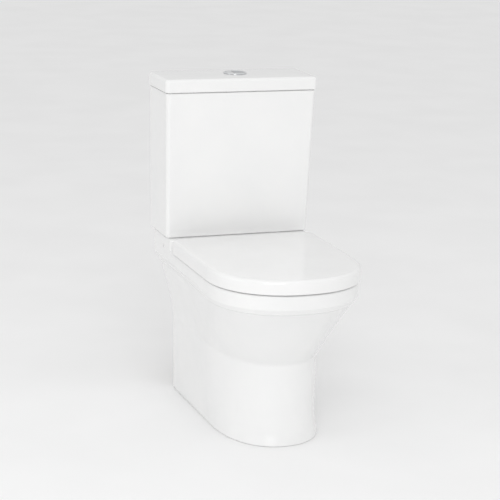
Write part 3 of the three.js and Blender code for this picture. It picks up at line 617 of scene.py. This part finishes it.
def make_bowl_shell():
    rings = []
    for z in [98.5, 104, *range(112, 360, 12)]:
        rings.append(oval(z - CHINA, *(bowl_row(z) + np.array((0, CHINA, CHINA))), BOWL_POWER))
    rings.append(oval(RIM_TOP + 6, BOWL_Y, 140 + CHINA, 168 + CHINA, BOWL_POWER))
    return solid(rings, 1)


def make_flush_way():
    return [
        block((-26, 26), (-236, -53), (338, 372), zone=1),
        rod(27, 0, VALVE_Y, 350, DECK_TOP + 1, zone=1),
        rod(46.5, 0, VALVE_Y, DECK_TOP - 16, DECK_TOP + 1, zone=1),
    ]


def make_pan_holes(side):
    """The fixing, coupling and hinge holes, the inlet notch and the dimple on one hand."""
    notch = sorted((side * 107, side * 157))
    dimple = sorted((side * (BAND_HALF - 4), side * (BAND_HALF + 1)))
    return [
        rod(6, side * FIXING_X, -95, -1, 25, zone=1),
        rod(5, side * COUPLING_X, VALVE_Y, DECK_TOP - 30, DECK_TOP + 1, zone=1),
        rod(6.5, side * HINGE_X, HINGE_Y, 350, RIM_TOP + 1, zone=1),
        block(notch, (-100, DECK_BACK + 10), (DECK_TOP - 17, DECK_TOP + 1), zone=1),
        rod(3.2, -104, 388, *dimple, segments=32, axis="X"),
    ]


def make_pan():
    outside = join(make_pan_body(), make_platform())
    walls = make_walls(outside)
    trap, trap_shell = make_trap(0.0, 12, 0), make_trap(CHINA, -2, 1)
    flush_block = block((-37, 37), (-226, -43), (327, RIM_TOP - 4), 2.0, 1)
    inside = meet(join(make_bowl_shell(), trap_shell, flush_block), twin(outside))
    bpy.data.objects.remove(outside)
    lugs = [block(sorted((side * 66, side * 116)), (-119, -71), (0, 24), 3.0, 1) for _, side in HANDS]
    holes = [hole for _, side in HANDS for hole in make_pan_holes(side)]
    return cut(join(walls, inside, *lugs), make_bowl(), trap, *make_flush_way(), *holes)


def curve_at(a, b, c, d, u):
    """The point and direction at share u of the smooth curve from b to c, between a and d."""
    bend, twist = 2 * a - 5 * b + 4 * c - d, 3 * b - a - 3 * c + d
    at = 0.5 * (2 * b + (c - a) * u + bend * u ** 2 + twist * u ** 3)
    way = (0.5 * ((c - a) + 2 * bend * u + 3 * twist * u ** 2)).normalized()
    return at, way


def make_trap(grow, extra, zone):
    """The waterway from the sump, over the weir and out of the spigot."""
    keys = [(-352, 150), (-322, 112), (-270, 100), (-222, 126), (-196, 184), (-160, 214), (-118, 203),
            (-90, 185), (-40, 185)]
    keys = [Vector((0, *key)) for key in keys]
    rings, steps, sides = [], 48, 40
    ends = [keys[0] * 2 - keys[1], *keys, keys[-1] * 2 - keys[-2]]
    for i in range(steps + 1):
        t = i / steps
        part = min(int(t * (len(keys) - 1)), len(keys) - 2)
        u = t * (len(keys) - 1) - part
        at, way = curve_at(*ends[part:part + 4], u)
        radius = mix(36, 40, float(smoothstep((t - 0.55) / 0.4))) + grow
        at.y += extra if i == steps else 0
        rings.append([
            (-radius * math.cos(k), at.y - way.z * radius * math.sin(k), at.z + way.y * radius * math.sin(k))
            for k in np.linspace(0, 2 * math.pi, sides, endpoint=False)
        ])
    return solid(rings, zone)


finish_piece(make_pan(), "pan", "china")

# ---------------------------------------------------------------- cistern

TANK_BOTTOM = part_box("cistern_tank")[0].z / MM
SHADOW_GAP, SHADOW_DEPTH = 2.2, 5.0   # the step that leaves a dark line under the cistern lid


def tank_ring(z, inset, corner):
    t = (z - TANK_BOTTOM) / (TANK_TOP - TANK_BOTTOM)
    half, deep = mix(181.5, 189.5, t) - inset, mix(139.3, 143.5, t) - inset
    return rounded_rectangle(z, (-half, half), (-deep, -inset), corner)


def make_tank():
    rings = [tank_ring(TANK_BOTTOM + depth, inset, 10 - inset) for depth, inset in edge_insets(5.0)]
    rings += [tank_ring(z, 0, 10) for z in np.linspace(TANK_BOTTOM + 20, TANK_TOP - 10, 8)]
    shoulder = TANK_TOP - SHADOW_GAP
    rings += [tank_ring(shoulder - depth, inset, 10 - inset) for depth, inset in reversed(edge_insets(1.2))]
    rings += [tank_ring(z, SHADOW_DEPTH, 10 - SHADOW_DEPTH) for z in (shoulder + 0.01, TANK_TOP)]
    wall, floor = 9.0, TANK_BOTTOM + 10
    inside = [tank_ring(floor + depth, wall + inset, 16) for depth, inset in edge_insets(8.0)]
    inside += [tank_ring(z, wall, 16) for z in (TANK_BOTTOM + 60, TANK_TOP - 3)]
    inside += [tank_ring(TANK_TOP - 1, wall - 0.6, 15), tank_ring(TANK_TOP + 1, wall - 2.2, 14)]
    holes = [rod(30.5, 0, VALVE_Y, TANK_BOTTOM - 1, floor + 12, zone=1),
             rod(11, *FILL, TANK_BOTTOM - 1, floor + 12, zone=1)]
    holes += [rod(5, side * COUPLING_X, VALVE_Y, TANK_BOTTOM - 1, floor + 12, zone=1) for _, side in HANDS]
    return cut(solid(rings), solid(inside, 1), *holes)


def make_cistern_lid():
    half, deep = 192.5, 146.5
    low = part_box("cistern_lid")[0].z / MM + 10

    def ring(z, inset):
        across = (-half + inset, half - inset)
        return rounded_rectangle(z, across, (-deep + inset, -inset / 3), 10 - inset * 0.4)

    rings = [ring(low + depth, inset) for depth, inset in edge_insets(1.6)]
    rings += [ring(z, 0) for z in (low + 8, low + 16)]
    rings += [ring(LID_TOP - 0.5 - depth, inset) for depth, inset in reversed(edge_insets(7.5))]
    rings += [ring(LID_TOP - 0.5 + rise, inset) for rise, inset in ((0.25, 16), (0.42, 30), (0.5, 50))]
    recess = solid([
        rounded_rectangle(z, (-half + 13 + inset, half - 13 - inset), (-deep + 13 + inset, -13 - inset), 9, 6)
        for z, inset in ((low - 1, 0), (LID_TOP - 16, 0), (LID_TOP - 12.5, 1.5), (LID_TOP - 11, 5))
    ], 1)
    lip_half, lip_front = half - 15, -deep + 15
    lip_rings = [
        rounded_rectangle(z, (-lip_half + inset, lip_half - inset), (lip_front + inset, -11.5 - inset), 8, 6)
        for z, inset in ((low - 10, 1.0), (low - 9, 0), (low + 8, 0))
    ]
    lip_hole = [
        rounded_rectangle(z, (-half + 19, half - 19), (-deep + 19, -15.5), 6, 6) for z in (low - 11, low + 9)
    ]
    lip = cut(solid(lip_rings, 1), solid(lip_hole, 1))
    hole = rod(25.4, *BUTTON, LID_TOP - 30, LID_TOP + 1, zone=1)
    return cut(join(cut(solid(rings), recess), lip), hole)


finish_piece(make_tank(), "cistern_tank", "china")
finish_piece(make_cistern_lid(), "cistern_lid", "china")

# ---------------------------------------------------------------- seat

SEAT_HALF, SEAT_FRONT, SEAT_STRAIGHT, SEAT_POWER = 181.5, 598.0, 427.0, 2.2
SEAT_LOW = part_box("seat_lid")[0].z / MM
SEAT_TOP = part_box("seat_lid")[1].z / MM
SEAT_BACK = -178.0
RING_LOW, RING_TOP = (corner.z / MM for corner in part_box("seat_ring"))


def seat_outline(z, inset, half=SEAT_HALF, front=SEAT_FRONT, back=SEAT_BACK, corner=10.0):
    return d_outline(z, half - inset, front - inset, SEAT_STRAIGHT, SEAT_POWER, back=back,
                     corner=max(corner - inset * 0.5, 3), nose=120, side=20)


def pin_bores():
    return rod(3.9, HINGE_Y, HINGE_Z, -120, 120, segments=48, axis="X")


def make_seat_lid():
    crown, edge = 0.7, 9.0
    rings = [seat_outline(SEAT_LOW + depth, inset) for depth, inset in edge_insets(1.8)]
    rings += [seat_outline(z, 0) for z in (SEAT_LOW + 8, SEAT_LOW + 15)]
    brow = SEAT_TOP - crown
    rings += [seat_outline(brow - depth * 0.95, inset) for depth, inset in reversed(edge_insets(edge, 9))]
    rings += [seat_outline(brow + rise, inset) for rise, inset in ((0.3, 16), (0.55, 30), (0.7, 55))]
    hollow_rings = [
        seat_outline(z, inset, back=SEAT_BACK - 12, corner=4.0)
        for z, inset in ((SEAT_LOW - 1, 5), (SEAT_TOP - 12, 5), (SEAT_TOP - 8.5, 6), (SEAT_TOP - 6.6, 9))
    ]
    shell = cut(solid(rings), solid(hollow_rings))
    # Behind the hinge the skirt's lower corner is rounded, so it clears the deck as the lid swings.
    corner = cut(
        block((-SEAT_HALF - 5, SEAT_HALF + 5), (HINGE_Y, SEAT_BACK + 5), (SEAT_LOW - 2, HINGE_Z)),
        rod(18, HINGE_Y, HINGE_Z, -SEAT_HALF - 8, SEAT_HALF + 8, segments=96, axis="X"),
    )
    knuckles = []
    for _, side in HANDS:
        span = sorted((side * 52, side * 65))
        knuckles.append(rod(8, HINGE_Y, HINGE_Z, *span, soft=0.8, axis="X"))
        knuckles.append(block(span, (HINGE_Y - 8, HINGE_Y + 8), (HINGE_Z, SEAT_TOP - 5), 0.6))
    return cut(join(cut(shell, corner), *knuckles), pin_bores())


def make_seat_ring():
    half, front, back = 173.0, 589.0, -207.0

    def outline(z, inset):
        return seat_outline(z, inset, half, front, back - inset, 9.0)

    rings = [outline(RING_LOW + depth, inset) for depth, inset in edge_insets(2.0)]
    rings += [outline(RING_TOP - depth * 0.8, inset) for depth, inset in reversed(edge_insets(8.0, 8))]
    hole = [(RING_LOW - 1, 2.0), (RING_LOW + 0.4, 0.6), (RING_LOW + 2, 0.0)]
    hole += [(RING_TOP - depth, inset) for depth, inset in reversed(edge_insets(9.0, 8))]
    hole.append((RING_TOP + 1, 10.0))
    opening = solid([oval(z, -394, 112 + grow, 144 + grow, 2.2, 120) for z, grow in hole])
    ears = []
    for _, side in HANDS:
        span = sorted((side * 91, side * 104))
        ears.append(rod(8, HINGE_Y, HINGE_Z, *span, soft=0.8, axis="X"))
        ears.append(block(span, (-219, HINGE_Y), (HINGE_Z - 8, HINGE_Z + 1), 0.6))
    return cut(join(cut(solid(rings), opening), *ears), pin_bores())


def make_hinge_post(side):
    """A turned foot, a waisted stem and a barrel that carries the pin."""
    x = side * HINGE_X
    foot = turned([
        (0, RIM_TOP + 0.3), (19, RIM_TOP + 0.3), (19, RIM_TOP + 2.3),
        (16.5, RIM_TOP + 3.4), (0, RIM_TOP + 3.4),
    ], x, HINGE_Y, 96, 0.4)
    slab = block((x - 30, x + 30), (HINGE_Y - 12.5, HINGE_Y + 12.5), (380, 400))
    stem = block((x - 10, x + 10), (HINGE_Y - 8, HINGE_Y + 8), (RIM_TOP + 3, HINGE_Z), 0.8)
    barrel = rod(8, HINGE_Y, HINGE_Z, x - 10, x + 10, 1.2, axis="X")
    grooves = [
        tube(7.6, 9, HINGE_Y, HINGE_Z, x + shift - 0.3, x + shift + 0.3, axis="X") for shift in (-7, 7)
    ]
    pin_bore = rod(3.8, HINGE_Y, HINGE_Z, x - 15, x + 15, axis="X")
    bolt_bore = rod(4.4, x, HINGE_Y, RIM_TOP - 1, RIM_TOP + 11)
    return cut(join(meet(foot, slab), stem, barrel), *grooves, pin_bore, bolt_bore)


finish_piece(make_seat_lid(), "seat_lid", "seat_plastic")
finish_piece(make_seat_ring(), "seat_ring", "seat_plastic")
for hand, hand_side in HANDS:
    finish_piece(make_hinge_post(hand_side), f"hinge_post_{hand}", "chrome")

# ---------------------------------------------------------------- dual flush button

BEZEL_TOP = LID_TOP + 3.2
SPLIT_X = BUTTON[0] - 4


def make_bezel():
    """A domed ring whose threaded sleeve passes down through the cistern lid."""
    flange = turned([
        (22.6, LID_TOP - 10), (24.6, LID_TOP - 10), (24.6, LID_TOP + 0.3), (28.5, LID_TOP + 0.3),
        (28.5, BEZEL_TOP - 1.8), (26.6, BEZEL_TOP), (23.6, BEZEL_TOP), (22.6, BEZEL_TOP - 1.2),
        (22.6, LID_TOP - 10),
    ], *BUTTON, 128, 0.7)
    sleeve = threaded(24.8, 0.5, 1.8, *BUTTON, LID_TOP - 24, LID_TOP - 4, 96)
    return cut(join(flange, sleeve), rod(22.6, *BUTTON, LID_TOP - 25, BEZEL_TOP + 1, segments=128))


def make_button(side):
    """Half of a dished disc, cut by a straight slot that lies off its middle."""
    low = LID_TOP - 8
    dish = [(22 * k / 10, BEZEL_TOP - 1.1 + 0.9 * (k / 10) ** 2) for k in range(9)]
    puck = turned([
        (0, low), (22, low), (22, BEZEL_TOP - 1.6), (21.2, BEZEL_TOP - 0.5), (20.2, BEZEL_TOP - 0.3),
        *dish[::-1],
    ], *BUTTON, 128)
    reach = 40
    across = (SPLIT_X - reach, SPLIT_X - 0.45) if side < 0 else (SPLIT_X + 0.45, SPLIT_X + 2 * reach)
    slab = block(across, (BUTTON[1] - reach, BUTTON[1] + reach), (low - 2, BEZEL_TOP + 2))
    return meet(puck, slab)


ROD_LOW, BUTTON_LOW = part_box("full_flush_rod")[0].z / MM, LID_TOP - 8


def make_flush_rod(x):
    """A cross-ribbed push rod with round ends."""
    ends = turned([
        (0, ROD_LOW), (2.6, ROD_LOW), (3, ROD_LOW + 1), (3, ROD_LOW + 5), (2.2, ROD_LOW + 6),
        (2.2, BUTTON_LOW - 8), (3, BUTTON_LOW - 6), (4, BUTTON_LOW - 4), (4, BUTTON_LOW - 0.4),
        (0, BUTTON_LOW - 0.4),
    ], x, -52, 48, 0.3)
    ribs = [block((x - 2.9, x + 2.9), (-52.5, -51.5), (ROD_LOW + 4, BUTTON_LOW - 5), 0.3),
            block((x - 0.5, x + 0.5), (-54.9, -49.1), (ROD_LOW + 4, BUTTON_LOW - 5), 0.3)]
    return join(ends, *ribs)


def make_ribbed_nut(radius, hole, x, y, low, high, ribs=12):
    """A hand nut with rounded finger ribs."""
    body = rod(radius - 2.5, x, y, low, high, 0.8)
    pads = []
    for k in range(ribs):
        angle = 2 * math.pi * k / ribs
        pads.append(rod(3.2, x + (radius - 3.2) * math.cos(angle), y + (radius - 3.2) * math.sin(angle),
                        low + 0.2, high - 0.2, 0.6, 20))
    return cut(join(body, *pads), rod(hole, x, y, low - 1, high + 1))


finish_piece(make_bezel(), "button_bezel", "chrome")
finish_piece(make_button(-1), "half_flush_button", "chrome")
finish_piece(make_button(1), "full_flush_button", "satin_chrome")
finish_piece(make_flush_rod(BUTTON[0] - 10), "half_flush_rod", "white_plastic")
finish_piece(make_flush_rod(BUTTON[0] + 10), "full_flush_rod", "blue_plastic")
button_nut = make_ribbed_nut(33, 25.1, *BUTTON, LID_TOP - 19, LID_TOP - 11.3)
finish_piece(button_nut, "button_nut", "white_plastic")

# ---------------------------------------------------------------- flush valve

VALVE_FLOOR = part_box("valve_gasket")[0].z / MM
VALVE_SEAT = VALVE_FLOOR + 9
CROWN_Z = 566.0
LEVER_Z, PIVOT_Y, PAD_Y, LEVER_HUB = 656.0, -62.0, -52.0, 5.0


def make_basket():
    """The valve's fixed body: a threaded tail, a seat, a windowed cage and two posts for the levers."""
    tail = threaded(27.5, 0.7, 2.5, 0, VALVE_Y, 399, VALVE_FLOOR + 4, 72)
    body = join(
        tail,
        rod(38, 0, VALVE_Y, VALVE_FLOOR + 3.5, VALVE_SEAT, 0.8, 96),
        tube(35, 38, 0, VALVE_Y, VALVE_SEAT - 1, CROWN_Z, 0.4, 96),
        tube(33, 39, 0, VALVE_Y, CROWN_Z - 60, CROWN_Z - 56, 0.8, 96),
        rod(38, 0, VALVE_Y, CROWN_Z - 4, CROWN_Z, 0.8, 96),
        block((-36, 36), (-72, -62), (600, 606), 1.0),
    )
    posts = []
    for _, side in HANDS:
        reach = sorted((side * 30, side * 36))
        posts.append(block(reach, (-72, -54), (CROWN_Z - 4, LEVER_Z + 6), 1.2))
        posts.append(block(sorted((side * 31, side * 35)), (-74, -70), (CROWN_Z - 3, LEVER_Z - 12), 0.8))
    holes = [
        rod(24, 0, VALVE_Y, 398, VALVE_SEAT + 1, segments=96),
        rod(18.2, 0, VALVE_Y, CROWN_Z - 10, 620),
        rod(2.5, PIVOT_Y, LEVER_Z, -60, 60, segments=32, axis="X"),
    ]
    for k in range(3):
        window = block((-60, 60), (-11, 11), (VALVE_SEAT + 2, VALVE_SEAT + 62), 2.5)
        turn_about_valve(window, 60 * k + 30)
        upper = block((-60, 60), (-7, 7), (VALVE_SEAT + 84, CROWN_Z - 9), 2.0)
        turn_about_valve(upper, 60 * k)
        holes += [window, upper]
    return cut(join(body, *posts), *holes)


def turn_about_valve(body, degrees):
    """Turns a tool drawn about the wall's middle line, and moves it to the valve's axis."""
    body.data.transform(Matrix.Translation((0, -WALL, 0)))
    body.data.transform(Matrix.Rotation(math.radians(degrees), 4, "Z"))
    body.data.transform(Matrix.Translation((0, WALL + VALVE_Y * MM, 0)))


def make_lift_tube():
    foot, collar = VALVE_SEAT + 4.6, 661.0
    tube_body = turned([
        (15, foot), (30, foot), (30, foot + 3), (17, foot + 10), (17, collar), (24, collar), (24, collar + 3),
        (17, collar + 3), (17, collar + 22), (15, collar + 22), (15, foot),
    ], 0, VALVE_Y, 96, 0.7)
    marks = [tube(16.6, 17.35, 0, VALVE_Y, z, z + 0.8, 0.2, 96) for z in range(585, 650, 8)]
    return join(tube_body, *marks)


def make_full_lever():
    """Rocker under the full flush rod: its finger lifts the tube's collar."""
    bar = (18.5, 25.5)
    body = join(
        block(bar, (VALVE_Y - 4, PAD_Y + 5), (LEVER_Z - 0.5, LEVER_Z + 3), 0.7),
        block((14, bar[1]), (PAD_Y - 5, PAD_Y + 5), (LEVER_Z, LEVER_Z + 3), 0.8),
        rod(LEVER_HUB, PIVOT_Y, LEVER_Z, *bar, soft=0.5, axis="X"),
    )
    return cut(body, rod(2.9, PIVOT_Y, LEVER_Z, 10, 32, segments=32, axis="X"))


def make_half_lever():
    """Trigger under the half flush rod: its tail swings forward."""
    bar = (-25.5, -18.5)
    body = join(
        block((bar[0], 2), (PAD_Y - 5, PAD_Y + 5), (LEVER_Z, LEVER_Z + 3), 0.8),
        block(bar, (PIVOT_Y - 1, PAD_Y), (LEVER_Z, LEVER_Z + 3), 0.6),
        block(bar, (PIVOT_Y - 3, PIVOT_Y + 3), (LEVER_Z - 32, LEVER_Z + 1), 1.0),
        rod(LEVER_HUB, PIVOT_Y, LEVER_Z, *bar, soft=0.5, axis="X"),
    )
    return cut(body, rod(2.9, PIVOT_Y, LEVER_Z, -32, -10, segments=32, axis="X"))


def make_seal(inner, outer, low, high, x=0.0, y=VALVE_Y):
    """A rubber ring with two moulded sealing beads on each face."""
    width = outer - inner
    body = tube(inner, outer, x, y, low + 0.25, high - 0.25, 0.5, 96)
    beads = []
    for share in (0.3, 0.7):
        middle = inner + width * share
        beads.append(tube(middle - 0.7, middle + 0.7, x, y, low, high, 0.6, 96))
    return join(body, *beads)


def make_hex_nut(radius, hole, x, y, low, high):
    """A chamfered hexagonal nut."""
    prism = turned([(0, low), (radius, low), (radius, high), (0, high)], x, y, 6)
    corners = turned([
        (0, low), (radius * 0.9, low), (radius, low + radius * 0.08), (radius, high - radius * 0.08),
        (radius * 0.9, high), (0, high),
    ], x, y, 96)
    return cut(meet(prism, corners), rod(hole, x, y, low - 1, high + 1, segments=72))


finish_piece(make_basket(), "flush_valve_basket", "white_plastic")
finish_piece(make_lift_tube(), "lift_tube", "blue_plastic")
finish_piece(make_full_lever(), "full_flush_lever", "grey_plastic")
finish_piece(make_half_lever(), "half_flush_lever", "grey_plastic")
finish_piece(make_seal(20, 31, VALVE_SEAT + 0.3, VALVE_SEAT + 4.3), "valve_seal", "rubber")
finish_piece(make_seal(27.8, 37, VALVE_FLOOR, VALVE_FLOOR + 3.2), "valve_gasket", "rubber")
finish_piece(make_hex_nut(37, 27.9, 0, VALVE_Y, 405, TANK_BOTTOM - 0.3), "valve_backnut", "grey_plastic")
doughnut = turned([
    (29.5, 398.3), (45.5, 398.3), (45.5, 413), (38, 413), (38, 404.4), (29.5, 404.4), (29.5, 398.3),
], 0, VALVE_Y, 96, 1.8)
finish_piece(doughnut, "coupling_doughnut", "foam")
for hand, hand_side in HANDS:
    ends = sorted((hand_side * 18, hand_side * 36))
    pin = rod(2.35, PIVOT_Y, LEVER_Z, *ends, soft=0.4, segments=48, axis="X")
    finish_piece(pin, f"lever_pin_{hand}", "steel")

# ---------------------------------------------------------------- fill valve

RISER_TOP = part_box("fill_valve_body")[1].z / MM
ARM_PIVOT = (FILL[0] + 18, FILL[1] - 20, 652.0)
ARM_LENGTH, ARM_TILT = 40.0, math.radians(20)
FLOAT_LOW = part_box("fill_valve_float")[0].z / MM


def make_fill_body():
    x, y = FILL
    pivot_x, pivot_y, pivot_z = ARM_PIVOT
    shank = threaded(10, 0.8, 1.8, x, y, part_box("fill_valve_body")[0].z / MM, VALVE_FLOOR + 3, 64)
    riser = turned([
        (0, VALVE_FLOOR + 2.5), (16, VALVE_FLOOR + 2.5), (16, VALVE_FLOOR + 8), (9, VALVE_FLOOR + 12),
        (9, RISER_TOP - 34), (16, RISER_TOP - 30), (16, RISER_TOP - 3), (13, RISER_TOP), (0, RISER_TOP),
    ], x, y, 96, 0.8)
    cap_ribs = [
        rod(0.9, x + 15.6 * math.cos(k * math.pi / 12), y + 15.6 * math.sin(k * math.pi / 12),
            RISER_TOP - 26, RISER_TOP - 5, 0.3, 12)
        for k in range(24) if not 14 < k < 22
    ]
    arms = [
        block((pivot_x - 5, pivot_x + 5), (pivot_y + 4, y - 4), (pivot_z - 6, pivot_z + 6), 1.0),
        block((x - 2, pivot_x + 5), (y - 16, y - 4), (pivot_z - 6, pivot_z + 6), 1.0),
        rod(2.5, pivot_x, pivot_z, pivot_y - 5, pivot_y + 6, 0.4, 48, axis="Y"),
        block((x + 8, x + 22), (y - 2, y + 12), (RISER_TOP - 20, RISER_TOP - 8), 1.0),
        rod(6, x + 20, y + 5, RISER_TOP - 30, RISER_TOP - 9, 0.4),
    ]
    body = join(shank, riser, *cap_ribs, *arms)
    return cut(
        body,
        rod(6, x, y, 360, RISER_TOP - 10),
        rod(4, x + 20, y + 5, RISER_TOP - 31, RISER_TOP - 12),
        rod(2.5, y + 5, RISER_TOP - 14, x + 2, x + 20, segments=32, axis="X"),
    )


def make_float():
    """An upturned cup with a flat flank and moulded bands."""
    x, y = FILL
    z = FLOAT_LOW
    cup = turned([
        (10.5, z), (27, z), (28, z + 2), (28, z + 14), (27.4, z + 14.6), (27.4, z + 17), (28, z + 17.6),
        (28, z + 48), (26, z + 50), (10.5, z + 50), (10.5, z),
    ], x, y, 96, 0.6)
    flank = block((x - 40, x + 40), (y + 22, y + 40), (z - 2, z + 60))
    return cut(cup, tube(13, 25, x, y, z - 1, z + 40, 1.5, 96), flank)


LINK = (ARM_PIVOT[0] - ARM_LENGTH * math.cos(ARM_TILT) + 1, ARM_PIVOT[2] - ARM_LENGTH * math.sin(ARM_TILT))


def make_float_link():
    x, end = LINK
    y = ARM_PIVOT[1]
    return join(
        block((x - 4, x + 4), (y - 4, y + 4), (FLOAT_LOW + 50.3, FLOAT_LOW + 53), 0.5),
        threaded(1.8, 0.25, 0.9, x, y, FLOAT_LOW + 52, end + 9, 24),
        rod(4.4, x, y, end + 4.5, end + 8, 0.6, 48),
        rod(4.4, x, y, end - 9, end - 5.5, 0.6, 48),
    )


def make_float_arm():
    """A slotted lever on the valve's side pivot, drawn level and then tilted to its rest."""
    bar = join(
        block((-ARM_LENGTH - 6, 4), (-3, 3), (-2, 2), 0.7),
        rod(5, 0, 0, -3, 3, 0.5, 64, axis="Y"),
        block((-ARM_LENGTH + 10, -6), (-0.6, 0.6), (-3.4, 3.4), 0.4),
    )
    arm = cut(
        bar,
        rod(3, 0, 0, -4, 4, segments=48, axis="Y"),
        block((-ARM_LENGTH - 3.2, -ARM_LENGTH + 6.5), (-2.3, 2.3), (-4, 4)),
    )
    arm.data.transform(Matrix.Translation((0, -WALL, 0)))
    arm.data.transform(Matrix.Rotation(-ARM_TILT, 4, "Y"))
    arm.data.transform(Matrix.Translation(Vector(ARM_PIVOT) * MM + Vector((0, WALL, 0))))
    return arm


finish_piece(make_fill_body(), "fill_valve_body", "white_plastic")
finish_piece(make_float(), "fill_valve_float", "blue_plastic")
finish_piece(make_float_link(), "float_link", "grey_plastic")
finish_piece(make_float_arm(), "float_arm", "grey_plastic")
inlet_gasket = make_seal(10.4, 18, VALVE_FLOOR, VALVE_FLOOR + 2.2, *FILL)
finish_piece(inlet_gasket, "inlet_gasket", "rubber")
finish_piece(make_hex_nut(17, 10.4, *FILL, 403, TANK_BOTTOM - 0.3), "inlet_backnut", "white_plastic")

# ---------------------------------------------------------------- bolts, washers and buffers

PLATFORM_LOW = DECK_TOP - 16


def make_bolt(radius, x, y, low, high, head_radius=0.0, head=0.0):
    """A threaded shank, with a slotted pan head where head is not zero."""
    shank = threaded(radius, 0.35, 1.25, x, y, low, high, 40)
    if not head:
        return shank
    cap = turned([
        (0, high - 1), (radius, high - 1), (radius, high), (head_radius, high),
        (head_radius, high + head * 0.6), (head_radius * 0.8, high + head), (0, high + head),
    ], x, y, 64, 0.8)
    reach = head_radius + 1
    slot = block((x - reach, x + reach), (y - 0.8, y + 0.8), (high + head * 0.55, high + head + 1))
    return cut(join(shank, cap), slot)


def make_wing_nut(x, y, low, hole):
    """A turned boss with two ears that thicken towards their tips."""
    boss = turned([(0, low), (9, low), (9, low + 3), (7.2, low + 10), (0, low + 10)], x, y, 64, 0.6)
    ears = []
    for side in (-1, 1):
        ear = sorted((x + side * 5, x + side * 17))
        ears.append(block(ear, (y - 1.4, y + 1.4), (low + 0.5, low + 7.5), 0.8))
        tip = sorted((x + side * 13.5, x + side * 19))
        ears.append(block(tip, (y - 2, y + 2), (low + 0.1, low + 8), 1.6))
    return cut(join(boss, *ears), rod(hole, x, y, low - 1, low + 11, segments=48))


def make_pad(x, y, radius, low, high):
    """A round buffer with a shallow dished face."""
    return turned([
        (0, low + 0.25), (radius * 0.55, low + 0.2), (radius * 0.7, low), (radius - 0.6, low),
        (radius, low + 0.7), (radius, high), (0, high),
    ], x, y, 64, 0.3)


for hand, hand_side in HANDS:
    x = hand_side * COUPLING_X
    finish_piece(make_bolt(3.4, x, VALVE_Y, PLATFORM_LOW - 26, VALVE_FLOOR + 5.5, 8, 5),
                 f"coupling_bolt_{hand}", "steel")
    finish_piece(tube(3.8, 12, x, VALVE_Y, VALVE_FLOOR, VALVE_FLOOR + 5.2, 0.9, 72),
                 f"tank_washer_{hand}", "rubber")
    finish_piece(tube(3.8, 13, x, VALVE_Y, PLATFORM_LOW - 3.3, PLATFORM_LOW - 0.3, 0.6, 72),
                 f"pan_washer_{hand}", "rubber")
    finish_piece(make_wing_nut(x, VALVE_Y, PLATFORM_LOW - 13.6, 3.8),
                 f"coupling_wing_nut_{hand}", "steel")

    x = hand_side * HINGE_X
    span = sorted((hand_side * 50, hand_side * 106))
    finish_piece(rod(3.5, HINGE_Y, HINGE_Z, *span, soft=0.6, segments=48, axis="X"),
                 f"hinge_pin_{hand}", "steel")
    finish_piece(make_bolt(4, x, HINGE_Y, 332, RIM_TOP + 10), f"seat_bolt_{hand}", "steel")
    finish_piece(tube(4.4, 14, x, HINGE_Y, 369, 371.7, 0.6, 72), f"seat_washer_{hand}", "rubber")
    finish_piece(make_wing_nut(x, HINGE_Y, 358.5, 4.4), f"seat_wing_nut_{hand}", "white_plastic")

    for place, x, y in (("back", 143, -300), ("front", 92, -555)):
        finish_piece(make_pad(hand_side * x, y, 8, RIM_TOP + 0.3, RING_LOW - 0.3),
                     f"ring_buffer_{place}_{hand}", "white_plastic")
    finish_piece(make_pad(hand_side * 60, -568, 6, RING_TOP + 0.3, SEAT_TOP - 6.3),
                 f"lid_buffer_{hand}", "white_plastic")

# ---------------------------------------------------------------- studio


def make_floor():
    paint = Paint("floor", Roughness=0.9)
    paint.colour(paint.noise(3, 2), (0.92, 0.92, 0.92), (0.94, 0.94, 0.94))
    paint.shader.inputs["Specular IOR Level"].default_value = 0.1
    half = 24.0
    corners = [(-half, -half, 0), (half, -half, 0), (half, half, 0), (-half, half, 0)]
    mesh = bpy.data.meshes.new("floor")
    mesh.from_pydata(corners, [], [(0, 1, 2, 3)])
    mesh.materials.append(paint.material)
    floor = new_object("floor", mesh)
    floor.location.z = cad_low.z - 0.0004


def make_sky():
    """A white room, brighter overhead than at eye level."""
    horizon, strength = 0.746, 0.878
    world = bpy.data.worlds.new("studio")
    world.use_nodes = True
    tree = world.node_tree
    background = tree.nodes["Background"]
    place = tree.nodes.new("ShaderNodeTexCoord")
    split = tree.nodes.new("ShaderNodeSeparateXYZ")
    ramp = tree.nodes.new("ShaderNodeValToRGB")
    ramp.color_ramp.elements[0].color = (horizon, horizon, horizon, 1)
    ramp.color_ramp.elements[1].color = (1, 1, 1, 1)
    tree.links.new(place.outputs["Generated"], split.inputs["Vector"])
    tree.links.new(split.outputs["Z"], ramp.inputs["Fac"])
    tree.links.new(ramp.outputs["Color"], background.inputs["Color"])
    background.inputs["Strength"].default_value = strength
    bpy.context.scene.world = world


def add_softbox(name, place, size, watts):
    """A square lamp at `place`, in metres, aimed at the middle of the object."""
    data = bpy.data.lights.new(name, "AREA")
    data.size = size
    data.energy = watts
    lamp = bpy.data.objects.new(name, data)
    lamp.location = place
    lamp.rotation_mode = "QUATERNION"
    middle = (cad_low + cad_high) / 2
    lamp.rotation_quaternion = (middle - Vector(place)).to_track_quat("-Z", "Y")
    bpy.context.scene.collection.objects.link(lamp)


make_floor()
make_sky()
add_softbox("front", (-1.2, -3.4, 1.3), size=1.8, watts=8.8)
add_softbox("above", (-1.0, -3.0, 3.0), size=1.8, watts=28.8)
add_softbox("left", (-3.2, -0.6, 1.5), size=1.6, watts=7.06)
bpy.context.scene.view_settings.view_transform = "Standard"
